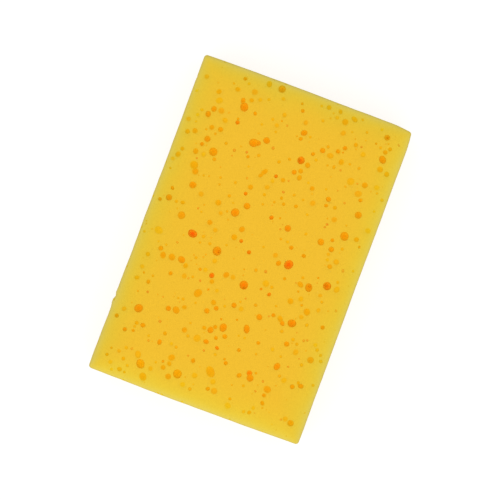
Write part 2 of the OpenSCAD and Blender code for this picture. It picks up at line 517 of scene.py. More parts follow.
    shallow_dishes: Sequence[Point] = (
        (28.5, 3, 1.3), (-3.5, -42, 1.5), (-45.5, 9, 1.5), (25.5, -30, 1.2), (-61.5, 31, 1.7),
        (66.5, 23, 1.4), (-44.5, 44, 1.3), (-61.5, 4, 1.3), (51.5, -18.5, 1.4), (61.5, -3, 1.2),
        (40, -36, 1.5), (65.5, 45.5, 1.3), (44, -31, 1.7), (50, 31, 1.3), (8, -37.5, 1.4),
        (-12, -11.5, 1.5), (53.5, 34, 1.3), (-69, -14.5, 1.6), (-65, -6.5, 1.6), (57.5, 36.5, 1.4),
        (68.5, -15.5, 1.1), (-49.5, -34, 1.2), (-65.5, -40.5, 1.1), (-24, 43, 1.1), (-21.5, 24, 1.1),
        (-22.5, 8, 1.1), (-10.5, 13.5, 1.3), (-14.5, 3.5, 1.1), (-26.5, -5, 1.1), (-36, -34.5, 1.2),
        (-8.5, -36, 1.1), (2.5, 18, 1.2), (15.5, 29.5, 1.1), (1.5, -11, 1.3), (29, -18.5, 1.4),
        (7.5, -33.5, 1), (10, -33, 1), (26, -46, 1.2), (45, 46.5, 1.2), (64, 19.5, 1.1),
        (56, 8.5, 1.1), (61.5, 7, 1.3), (63, -20.5, 1.3), (57, -32, 1.2), (-2, 22, 1),
        (-69, 41.5, 1.1), (-13, -28.5, 1.3), (-20.5, -31.5, 1.1), (-15, -37.5, 1.1), (-65.5, 23.5, 1.1),
        (-15.5, 16, 1.1), (26, 47, 1.1), (58, 47.5, 0.9), (68, 10, 1), (10.5, 18.5, 1.1),
        (-66, -25.5, 1), (-69, -22, 1), (-38.5, -24.5, 1), (-60.5, 37, 1), (-63, 39.5, 1),
    )
    # Small pores of the top: brownish specks, pinholes, and pores that barely show.
    specks: Sequence[Point] = (
        (-21, 16.5, 0.7), (-8.5, 32, 0.6), (-7, -9.5, 0.8), (29, -4.5, 0.75), (34.5, -5, 0.6),
        (66.5, -45.5, 0.6), (-60, 34.5, 0.75), (-33.5, 29.5, 0.5), (-7, -24, 0.5), (47, -25, 0.6),
        (38, -27, 0.5), (13, -9, 0.6), (15.3, -9.3, 0.4), (22.3, -27.8, 0.7), (40, 17, 0.7),
        (-53.3, -25.4, 0.7), (-58.6, -23.8, 0.6), (-43.3, -33.7, 0.6), (-66.5, -38.8, 0.6),
        (-44.2, 27, 0.8), (-30, -36.2, 0.7), (-29.3, -37.6, 0.6), (-12.5, -45, 0.7),
        (-21.8, 21.8, 0.5), (5.3, -41.7, 0.8), (29.2, 12.8, 0.7), (29.8, 37, 0.5),
        (60, -30.2, 0.6), (45.8, 6.6, 0.8), (9, 28.6, 0.6), (-49.6, 4.1, 0.6), (-21.4, -5.3, 0.5),
        (38.9, 22.5, 0.8), (33.9, -31.8, 0.7), (-25.2, -17.8, 0.5), (20.8, -27.3, 0.6),
        (57.4, 4.2, 0.6), (-33.8, 36.7, 0.7), (-54, 28.8, 0.7), (44, -34.1, 0.6),
        (-38.3, -37, 0.4), (-67.9, -26.8, 0.4), (-24.9, 3.4, 0.4),
    )
    pinholes: Sequence[Point] = (
        (-26.3, 41.3, 0.6), (-23.4, 11.7, 0.7), (-50, -5.9, 0.7), (-31.6, -5, 0.6),
        (-15, -10.3, 0.7), (17.8, -44.8, 0.7), (58.5, 7.1, 0.6), (-65.8, -14.3, 0.8),
        (-7, -18.5, 0.8), (21.5, 46.5, 0.6), (26.2, -4.7, 0.8), (68.9, 1.3, 0.7),
        (-51, -21.2, 0.7), (-59.7, -13, 0.5), (-52.2, 36.8, 0.8), (-60.5, 19.5, 0.7),
        (63.7, -35.8, 0.6), (54.5, -1.5, 0.5), (54.8, -23.3, 0.5), (17.6, -7.2, 0.6),
        (-62.8, 43.2, 0.6), (-66.3, 44, 0.8), (-71, 34, 0.7), (-16.2, 18.3, 0.8),
        (-33.8, 1.7, 0.6), (-15.5, -29.8, 0.7), (-10.3, -26.2, 0.6), (-1.5, -32.5, 0.6),
        (38.3, 15.8, 0.8), (52.6, 25.8, 0.7),
    )
    faint_pores: Sequence[Point] = (
        (-71.8, 39.8, 0.9), (-67.8, 33.8, 0.9), (-50.2, 36.8, 0.8), (-52, 29.5, 0.8),
        (-62, 22.4, 0.7), (-42.8, 28.2, 0.6), (-46, 13, 0.8), (-40.2, 14, 0.7),
        (-52.5, 16.2, 0.8), (-67.9, 4, 0.9), (-49.5, -1.3, 0.9), (-38, -8.2, 0.7),
        (-38, -11, 0.8), (-58.2, -17.9, 0.9), (-43, -18.3, 0.8), (-48.5, -31.5, 0.8),
        (-40.2, -29, 0.7), (-40.5, -39, 0.9), (-47.2, -47, 0.9), (-60, -47.8, 0.6),
        (-31.3, 20.8, 0.9), (-31.6, 23, 0.7), (-20.5, 20.2, 0.8), (-12, 21.8, 0.8),
        (-11, 40, 0.7), (-11.2, 36.3, 0.7), (-9, 47.5, 0.8), (-6.8, 44.7, 0.6), (-4, 18.2, 0.9),
        (-5, 22.5, 0.7), (-4.5, 30.5, 0.5), (-26.3, 37, 0.7), (-27.8, 2.3, 0.8),
        (-23.6, -3.6, 0.7), (-22.6, -10.5, 0.8), (-12.6, -14.5, 0.9), (-2, 11, 0.7),
        (-7.9, -5.2, 0.9), (-31, 15, 0.8), (-19.8, -19.2, 0.7), (-31.2, -31.5, 0.9),
        (-29.5, -25.5, 0.9), (-32.5, -33.8, 0.8), (-3.8, -26, 0.9), (-11, -37.7, 0.8),
        (-23, -35, 0.9), (-31.8, -43.2, 0.9), (-33.5, -45.5, 0.8), (-36, -46.5, 0.9),
        (-0.3, -41.3, 0.9), (8.5, 38.8, 0.9), (5.7, 37.3, 0.6), (8, 26.7, 0.7), (23.6, 31.4, 0.6),
        (32, 29.5, 0.9), (22.3, 23.4, 0.7), (25.3, 24, 0.7), (25.5, 17, 0.9), (12.2, 16, 0.8),
        (16.7, 14.8, 0.8), (8.9, 14.3, 0.7), (34.3, 14, 0.7), (20.7, 2.2, 0.8), (23.4, -2.3, 0.8),
        (9, -10.8, 0.8), (8.8, -14, 0.9), (29.4, -9.5, 0.9), (28.8, -14, 0.8), (3, -4.8, 0.8),
        (8, -22.5, 0.6), (15, -20.5, 0.9), (23.3, -18, 0.8), (32.7, -16.8, 0.7), (14.3, -38, 0.9),
        (6.8, -46, 0.8), (36.8, -22, 0.8), (50.8, 42.3, 0.9), (45, 43, 0.7), (43.3, 37.5, 0.6),
        (42.8, 33, 0.7), (66.8, 33, 0.7), (69, 26.7, 0.8), (41.5, 20.3, 0.6), (40.5, 27, 0.8),
        (49.7, 14.9, 0.7), (57.8, 11.2, 0.9), (53, 8, 0.8), (65.5, 15.9, 0.9), (54, 15, 0.8),
        (40.5, 11.5, 0.9), (43.7, -2, 0.9), (56.2, -7.2, 0.8), (65, -10, 0.9), (67.2, -12.8, 0.7),
        (69.8, -13.3, 0.7), (47.5, -13.2, 0.9), (71, -7.2, 0.8), (54.9, -16.2, 0.8),
        (47, -18.8, 0.7), (47.3, -21.8, 0.9), (64.8, -24, 0.7), (67, -30.2, 0.8),
        (71.6, -26.5, 0.8), (40.9, -29.6, 0.7), (62.7, -38.3, 0.8), (65.5, -41, 0.6),
        (43, -43.9, 0.7), (41, -47, 0.9), (50.7, -32.5, 0.8), (51, -28, 0.7), (35, -45.5, 0.7),
    )
    # Pores of the top that are plainly longer than wide: how many times, and the way
    # in which they are, in degrees from the block's length.
    drawn_out: Sequence[tuple[float, float, float, float]] = (
        (-34, -10.5, 1.5, 20), (-37, -0.5, 1.25, -8), (-57.5, -2, 1.4, 40), (-45, -29, 1.3, -14),
        (-24.5, -23, 1.3, 44), (-26, -24.5, 1.3, 44), (-7, -26, 1.35, 63), (-7, -30, 1.25, 20),
        (-24.5, -28.5, 1.1, 110), (45, 15.5, 1.2, 110), (45.5, 14, 1.3, 110), (34.5, 6.5, 1.6, -38),
        (32.5, 7.5, 1.6, -38), (-65, 28.5, 1.2, 40), (-70, 25.5, 1.25, 40), (-69, -14.5, 1.2, 40),
        (70.5, -23, 1.5, 63), (66.5, -45.5, 1.8, 47), (40, -36, 1.25, 110), (58.5, 25, 1.15, 20),
        (61, 26.5, 1.4, 10), (-61.5, 31, 1.25, 30),
    )
    # Pores of the top that are plainly redder than usual for their depth, or less red,
    # and the tone of each.
    chosen_tones: Sequence[Point] = (
        (-2.5, 27, 6), (-0.5, -18, 4.5), (-17, 12.5, 3.5), (14.5, -12, 2), (45.5, 14, 2),
        (58.5, 25, 1.5), (-42, 38, 1.5), (-24.5, -28.5, -3), (-65, 28.5, -2), (-63.5, 11.5, -2),
        (22.3, -27.8, 2), (40, 17, 2), (-21, 16.5, 2), (29, -4.5, 2), (-23.4, 11.7, 2),
        (-15, -10.3, 2),
    )
    # Pores that open in the walls of large pores of the top.
    inner_pores: Sequence[Point] = (
        (-24, -30, 0.5), (-17.2, -3, 0.7), (-6, 13, 0.8), (45, -6.2, 0.7), (68.1, -39.8, 0.6),
        (-6.2, -30.2, 0.8), (-3.2, -36.9, 0.8),
    )
    fine_small: float = 0.34
    fine_large: float = 0.88
    fine_web: float = 0.25
    fine_density: float = 32
    fine_shares: tuple[float, float] = (-0.75, 0.15)
    fine_room: float = 1.2
    filler_large: float = 0.55
    filler_density: float = 12
    filler_shares: tuple[float, float] = (-0.75, -0.4)
    rust_share: float = 0.1
    speck_share: float = -0.2
    pinhole_share: float = -0.05
    faint_share: float = -0.52
    quiet_tone: float = -1
    edge_spacing: float = 7
    edge_small: float = 0.3
    edge_large: float = 0.75
    edge_depth: float = 0.45
    edge_run: float = 0.49
    inner_least: float = 1.3
    inner_share: float = 0.4
    inner_away: tuple[float, float] = (0.1, 0.5)
    inner_sizes: tuple[float, float] = (0.3, 0.45)
    inner_tone: float = 1
    longest: float = 0.3
    lip_least: float = 0.85
    lip_width: float = 0.3
    lip_share: float = -0.88

    def pores(self, faces: Sequence[CutFace]) -> list[Pore]:
        """All the bubbles that the six faces and their edges meet.

        Args:
            faces: The block's faces, the top first.

        Returns:
            The pores of each face, then those of the edges, then those inside
            other pores.
        """
        found = self._top(faces[TOP])
        for number, face in enumerate(faces):
            if number != TOP:
                large = self._large(face, number, [])
                found += large + self._fine(face, number, large, [])
        found += list(self._edges(faces))
        found += list(self._inner(found, faces))
        found += list(self._chosen_inner(found, faces))
        return found

    def _top(self, face: CutFace) -> list[Pore]:
        """The pores of the top face.

        Args:
            face: The top face.

        Returns:
            Its large pores, its small and fine ones, and the lips of the large.
        """
        chosen = self._landmarks(face)
        large = self._large(face, TOP, chosen)
        small = self._small(face)
        self._quieten(large[len(chosen) :])
        self._mark(face, large + small)
        return large + self._fine(face, TOP, large, small) + list(self._lips(large))

    def _draws(self, row: Row, face: int = 0) -> Draws:
        """A row of random numbers for one face's layout."""
        return Draws(self.layout * row + face)

    def _spread(self, face: CutFace, points: Sequence[Point]) -> Iterator[Point]:
        """Spreads chosen pores with the size of the top face.

        Args:
            face: The top face.
            points: Places and radii, in millimetres.

        Yields:
            The same in metres.
        """
        wide = face.width / self.landmark_face[0]
        high = face.height / self.landmark_face[1]
        for x, y, radius in points:
            yield x * wide, y * high, radius * MM

    def _landmarks(self, face: CutFace) -> list[Pore]:
        """The chosen large pores of the top face.

        Args:
            face: The top face.

        Returns:
            The pores, the deepest kind first.
        """
        kinds = (
            (self.deep_pits, Depth.DEEP_PIT),
            (self.pits, Depth.PIT),
            (self.dishes, Depth.DISH),
            (self.shallow_dishes, Depth.SHALLOW_DISH),
        )
        return [
            Pore(x, y, radius, depth.value, TOP)
            for points, depth in kinds
            for x, y, radius in self._spread(face, points)
        ]

    def _small(self, face: CutFace) -> list[Pore]:
        """The chosen small pores of the top face.

        Args:
            face: The top face.

        Returns:
            The pores, each with a look of its own.
        """
        kinds = (
            (self.specks, self.speck_share, 1.0),
            (self.pinholes, self.pinhole_share, 0.0),
            (self.faint_pores, self.faint_share, 0.0),
        )
        found = [
            Pore(x, y, radius, share, TOP, rust=rust)
            for points, share, rust in kinds
            for x, y, radius in self._spread(face, points)
        ]
        look = self._draws(Row.SMALL_LOOKS)
        for pore in found:
            self._vary(pore, look)
        return found

    def _nearest(self, face: CutFace, pores: Sequence[Pore], x: float, y: float) -> Pore:
        """The pore that is nearest to a chosen place of the face."""
        place = next(self._spread(face, [(x, y, 0.0)]))
        return min(pores, key=lambda p: math.hypot(place[0] - p.x, place[1] - p.y))

    def _quieten(self, strewn: Sequence[Pore]) -> None:
        """Makes the top's strewn large pores barely show among the chosen ones.

        Args:
            strewn: These pores, which are changed.
        """
        for pore in strewn:
            pore.share = Depth.SHALLOW_DISH.value
            pore.tone = self.quiet_tone

    def _mark(self, face: CutFace, pores: Sequence[Pore]) -> None:
        """Gives the top's pores that plainly differ from the rest their own looks.

        Args:
            face: The top face.
            pores: Its large and small pores, which are changed.
        """
        for x, y, stretch, degrees in self.drawn_out:
            pore = self._nearest(face, pores, x, y)
            pore.stretch = stretch
            pore.turn = math.radians(degrees)
        for x, y, tone in self.chosen_tones:
            self._nearest(face, pores, x, y).tone = tone

    def _clear(self, pore: Pore, others: Sequence[Pore], web: float) -> bool:
        """Whether a pore leaves a web of foam to each of the others.

        Args:
            pore: The pore.
            others: The others.
            web: The width of the web, in millimetres.

        Returns:
            True where it does.
        """
        return all(
            math.hypot(pore.x - o.x, pore.y - o.y) >= pore.opening + o.opening + web * MM
            for o in others
        )

    def _anywhere(self, draws: Draws, face: CutFace, reach: float) -> tuple[float, float]:
        """A random place on a face.

        Args:
            draws: The random numbers.
            face: The face.
            reach: How far the place keeps from the face's sides.

        Returns:
            The place, across and along.
        """
        x = (2 * draws.share() - 1) * (face.width / 2 - reach)
        y = (2 * draws.share() - 1) * (face.height / 2 - reach)
        return x, y

    def _large(self, face: CutFace, number: int, chosen: list[Pore]) -> list[Pore]:
        """The large pores of a face, as the block's construction places them.

        Args:
            face: The cut face.
            number: Its number.
            chosen: Its chosen large pores.

        Returns:
            The chosen pores, and the strewn ones that no earlier one crowds.
        """
        area = round(face.width / MM, 3) * round(face.height / MM, 3)
        draws = self._draws(Row.PLACES, face.layout)
        tried = list(chosen)
        for _ in range(max(0, math.ceil(area * self.density / self.patch) - len(chosen))):
            radius = self.small + (self.large - self.small) * draws.share() ** 2
            share = (self.dish_share + self.pit_share) * draws.share() - self.dish_share
            reach = (radius / math.sqrt(1 - share * share) + self.web) * MM
            x, y = self._anywhere(draws, face, reach)
            tried.append(Pore(x, y, radius * MM, share, number))
        kept = list(chosen)
        for i in range(len(chosen), len(tried)):
            if self._clear(tried[i], tried[:i], self.web):
                kept.append(tried[i])
        look = self._draws(Row.LOOKS, face.layout)
        for pore in kept:
            self._vary(pore, look)
        return kept

    def _vary(self, pore: Pore, look: Draws) -> None:
        """Gives a pore its tone and its stretch.

        Args:
            pore: The pore, which is changed.
            look: The random numbers for it.
        """
        pore.tone = look.between(-1, 1)
        pore.stretch = 1 + self.longest * look.share() ** 2
        pore.turn = look.between(0, math.pi)

    def _fine(
        self, face: CutFace, number: int, large: list[Pore], small: list[Pore]
    ) -> list[Pore]:
        """The fine pores, which lie clear of a face's large ones and of each other.

        Args:
            face: The cut face.
            number: Its number.
            large: Its large pores.
            small: Its chosen small pores, between which the rest are faint and few.

        Returns:
            The chosen small pores, and the others.
        """
        kept = list(small)
        density = self.filler_density if small else self.fine_density
        largest = self.filler_large if small else self.fine_large
        shares = self.filler_shares if small else self.fine_shares
        area = face.width * face.height / MM**2
        draws = self._draws(Row.FINE_PORES, face.layout)
        for _ in range(math.ceil(area * density / self.patch)):
            radius = draws.between(self.fine_small, largest)
            share = draws.between(*shares)
            reach = (radius * self.fine_room + self.fine_web) * MM
            x, y = self._anywhere(draws, face, reach)
            pore = Pore(x, y, radius * MM, share, number)
            self._vary(pore, draws)
            pore.rust = float(draws.share() < self.rust_share)
            if self._clear(pore, large + kept, self.fine_web):
                kept.append(pore)
        return kept

    def _edges(self, faces: Sequence[CutFace]) -> Iterator[Pore]:
        """Small bubbles that nibble the block's twelve edges.

        Args:
            faces: The block's faces.

        Yields:
            The bubbles, edge by edge.
        """
        draws = self._draws(Row.EDGE_PORES)
        top, _, front, *_ = faces
        size = np.array([top.width, top.height, front.height])
        for axis, first, second in product(range(3), (-1.0, 1.0), (-1.0, 1.0)):
            diagonal = np.insert([first, second], axis, 0.0)
            for _ in range(int(size[axis] / MM / self.edge_spacing)):
                radius = draws.between(self.edge_small, self.edge_large) * MM
                inset = draws.between(0, self.edge_depth) * MM
                middle = diagonal * (size / 2 - inset)
                middle[axis] = draws.between(-self.edge_run, self.edge_run) * size[axis]
                middle[2] += size[2] / 2
                yield Pore(0, 0, radius, Depth.DISH.value, NONE, middle=middle)

    def _inner(self, pores: list[Pore], faces: Sequence[CutFace]) -> Iterator[Pore]:
        """Smaller bubbles that open in the walls of some large pits, but for the top's.

        Args:
            pores: All the pores so far.
            faces: The block's faces.

        Yields:
            The bubbles, in the order of those pits.
        """
        draws = self._draws(Row.INNER_PORES)
        for number, parent in enumerate(pores):
            if parent.face in (TOP, NONE) or not self._holds_others(parent):
                continue
            if draws.share() > self.inner_share:
                continue
            away = parent.opening * draws.between(*self.inner_away)
            way = draws.between(0, 2 * math.pi)
            x = parent.x + away * math.cos(way)
            y = parent.y + away * math.sin(way)
            radius = parent.opening * draws.between(*self.inner_sizes)
            yield self._opened_in(parent, number, faces[parent.face], (x, y, radius))

    def _chosen_inner(self, pores: list[Pore], faces: Sequence[CutFace]) -> Iterator[Pore]:
        """The chosen pores in the walls of the top's large ones.

        Args:
            pores: All the pores so far.
            faces: The block's faces.

        Yields:
            Each chosen pore, in the pit that is nearest to it.
        """
        pits = [i for i, p in enumerate(pores) if p.face == TOP and self._holds_others(p)]
        for x, y, radius in self._spread(faces[TOP], self.inner_pores):
            number = min(pits, key=lambda i: math.hypot(x - pores[i].x, y - pores[i].y))
            yield self._opened_in(pores[number], number, faces[TOP], (x, y, radius))

    def _holds_others(self, pore: Pore) -> bool:
        """Whether a pore is wide and deep enough for others to open in its wall."""
        return pore.opening >= self.inner_least * MM and pore.share > 0

    def _opened_in(self, parent: Pore, number: int, face: CutFace, place: Point) -> Pore:
        """A bubble that opens in another's wall, straight below a point of the face.

        Args:
            parent: The pore whose wall it is.
            number: That pore's number.
            face: The face that both lie in.
            place: The point, x across and y along, and the bubble's radius.

        Returns:
            The bubble.
        """
        x, y, radius = place
        away = math.hypot(x - parent.x, y - parent.y)
        wall = math.sqrt(max(0.0, parent.radius**2 - away**2))
        middle = face.place(x, y, -parent.share * parent.radius - wall)
        own = {"tone": self.inner_tone, "middle": middle, "inside": number}
        return Pore(parent.x, parent.y, radius, 0.0, parent.face, **own)

    def _lips(self, pores: Sequence[Pore]) -> Iterator[Pore]:
        """A very shallow dish round each large pore, which softens its rim.

        Args:
            pores: The top's large pores.

        Yields:
            A dish round each that is large enough.
        """
        for pore in pores:
            if pore.opening >= self.lip_least * MM:
                wider = pore.opening + self.lip_width * MM
                yield replace(pore, opening=wider, share=self.lip_share)


# --- The block -----------------------------------------------------------------------


@dataclass(frozen=True)
class FoamBlock:
    """The block of foam before its bubbles are opened, in metres.

    Its edges are worn round, its ends draw in at their corners and its long sides
    at their middles, and its faces aren't quite flat, as soft foam is after it has
    been cut and packed. There is a small nick in one long side.

    Attributes:
        length, width, height: The block's size.
        edge_radius: The radius of its edges.
        grid: How far apart the mesh's rows are where it is flat.
        arc_steps: The mesh's steps round half of an edge.
        end_draw: How far an end is drawn in at its corners.
        side_waist: How far a long side is drawn in at its middle.
        taper: How much more it is drawn in at the +X end than at the other.
        hold: The power of the nearness to a side that says how far a point follows.
        unevenness, wave_length: The height and the length of the faces' waves.
        ragged, ragged_length: The same of the finer waves on them.
        worn_corner, worn_reach: How far the corner at +X and -Y is worn back along
            X and Y, and how far from it the wear reaches.
        nick_place: Where the nick in the +Y side is.
        nick_depth, nick_reach: Its depth, and how far it reaches.
        nick_lips, nick_lip_place: The height of the lips on its two sides, and how
            many reaches away they are.
        nick_swell, nick_swell_place, nick_swell_reach: The height of the swelling
            beside it, and how many reaches away it is and reaches itself.
        nick_rows: The numbers of the mesh's own rows there: that of the first, and
            the one past the last.
        nick_fade: The power of the height at which it fades out below the top.
    """

    length: float
    width: float
    height: float
    edge_radius: float = 1.5 * MM
    grid: float = 3.4 * MM
    arc_steps: int = 3
    end_draw: float = 0.35 * MM
    side_waist: float = 0.18 * MM
    taper: float = 0.24 * MM
    hold: int = 8
    unevenness: float = 0.22 * MM
    wave_length: float = 22 * MM
    ragged: float = 0.08 * MM
    ragged_length: float = 2.4 * MM
    worn_corner: float = 0.56 * MM
    worn_reach: float = 5.0 * MM
    nick_place: float = -40.4 * MM
    nick_depth: float = 0.5 * MM
    nick_reach: float = 0.8 * MM
    nick_lips: float = 0.3 * MM
    nick_lip_place: float = 2.2
    nick_swell: float = 0.55 * MM
    nick_swell_place: float = -3.8
    nick_swell_reach: float = 1.8
    nick_rows: tuple[int, int] = (-7, 5)
    nick_fade: int = 6

    @property
    def half(self) -> np.ndarray:
        """Half of the block's size."""
        return np.array([self.length, self.width, self.height]) / 2

    def _rows(self, size: float) -> np.ndarray:
        """Where the mesh's rows cross one side of the block.

        Args:
            size: The length of that side.

        Returns:
            The places of the rows, from the side's middle.
        """
        flat = size / 2 - self.edge_radius
        inner = np.linspace(-flat, flat, round(2 * flat / self.grid) + 1)
        if size == self.length:
            near = self.nick_place + self.nick_reach * np.arange(*self.nick_rows)
            apart = np.abs(inner - near.mean()) / self.nick_reach
            inner = np.sort(np.concatenate([inner[apart > (len(near) + 1) / 2], near]))
        turns = np.arange(1, self.arc_steps + 1) * (math.pi / 4 / self.arc_steps)
        arc = flat + self.edge_radius * np.tan(turns)
        return np.concatenate([-arc[::-1], inner, arc])

    def _quads(self, last: Sequence[int]) -> Iterator[list[tuple[int, ...]]]:
        """The quads of a box, whose corners go round it as seen from outside.

        Args:
            last: The number of the last row along each axis.

        Yields:
            The four corners of each quad, each by the numbers of its rows.
        """
        for axis in range(3):
            across, along = (axis + 1) % 3, (axis + 2) % 3
            for end in (0, last[axis]):
                for i, j in product(range(last[across]), range(last[along])):
                    quad = []
                    for a, b in ((i, j), (i + 1, j), (i + 1, j + 1), (i, j + 1)):
                        key = [0, 0, 0]
                        key[axis], key[across], key[along] = end, a, b
                        quad.append(tuple(key))
                    yield quad if end else quad[::-1]

    def _core(self, points: np.ndarray) -> np.ndarray:
        """The points of the block less its rounding that are nearest to these."""
        return np.clip(points, self.edge_radius - self.half, self.half - self.edge_radius)

    def _outward(self, points: np.ndarray) -> np.ndarray:
        """The direction out of the foam at each point of the block."""
        out = points - self._core(points)
        return out / np.linalg.norm(out, axis=1, keepdims=True)

    def _nick(self, x: np.ndarray) -> np.ndarray:
        """How far the nick lies in from the +Y side, and its lips and swelling out.

        Args:
            x: Places along the side.

        Returns:
            The depth at each of them.
        """
        across = (x - self.nick_place) / self.nick_reach
        beside = (across - self.nick_swell_place) / self.nick_swell_reach
        lips = np.exp(-((np.abs(across) - self.nick_lip_place) ** 2)) * self.nick_lips
        swell = np.exp(-(beside**2)) * self.nick_swell
        return np.exp(-across * across) * self.nick_depth - lips - swell

    def _out_of_true(self, points: np.ndarray, outward: np.ndarray) -> np.ndarray:
        """The rounded points with the block's own unevenness.

        Args:
            points: Points of the block, from its middle.
            outward: The direction out of the foam at each of them.

        Returns:
            The moved points.
        """
        x, y, z = (points / self.half).T
        moved = points.copy()
        moved[:, 0] -= np.sign(x) * np.abs(x) ** self.hold * self.end_draw * y * y
        draw = self.side_waist * (1 - x * x) + self.taper * (1 + x) / 2
        moved[:, 1] -= np.sign(y) * np.abs(y) ** self.hold * draw
        nick = self._nick(points[:, 0]) * np.clip(y, 0, 1) ** self.hold
        moved[:, 1] -= nick * np.clip(z, 0, 1) ** self.nick_fade
        corner = self.half[:2] * (1, -1)
        near = np.linalg.norm(points[:, :2] - corner, axis=1) / self.worn_reach
        worn = self.worn_corner * np.exp(-near * near)
        moved[:, :2] -= worn[:, None] * np.sign(corner)
        for number, point in enumerate(points):
            wave = noise.noise(Vector(point / self.wave_length))
            grain = noise.noise(Vector(point / self.ragged_length))
            moved[number] += outward[number] * (wave * self.unevenness + grain * self.ragged)
        return moved

    def mesh(self) -> bpy.types.Mesh:
        """The uncut block as a closed mesh that stands on the origin, flat beneath."""
        rows = [self._rows(size) for size in (self.length, self.width, self.height)]
        numbers: dict[tuple[int, ...], int] = {}
        quads = [
            [numbers.setdefault(key, len(numbers)) for key in quad]
            for quad in self._quads([len(row) - 1 for row in rows])
        ]
        box = np.array([[rows[k][key[k]] for k in range(3)] for key in numbers])
        points = self._core(box) + self._outward(box) * self.edge_radius
        moved = self._out_of_true(points, self._outward(points))
        moved[:, 2] += self.half[2]
        level = points[:, 2] + self.half[2]
        lowest = level < self.edge_radius / 2
        moved[lowest, 2] = level[lowest]
        mesh = bpy.data.meshes.new("uncut_block")
        mesh.from_pydata(moved.tolist(), [], quads)
        mesh.validate()
        return mesh


# --- Opening the bubbles -------------------------------------------------------------


class Roundness(IntEnum):
    """How finely a bubble is drawn, by its size."""

    FINE = 0
    MIDDLE = 1
    LARGE = 2


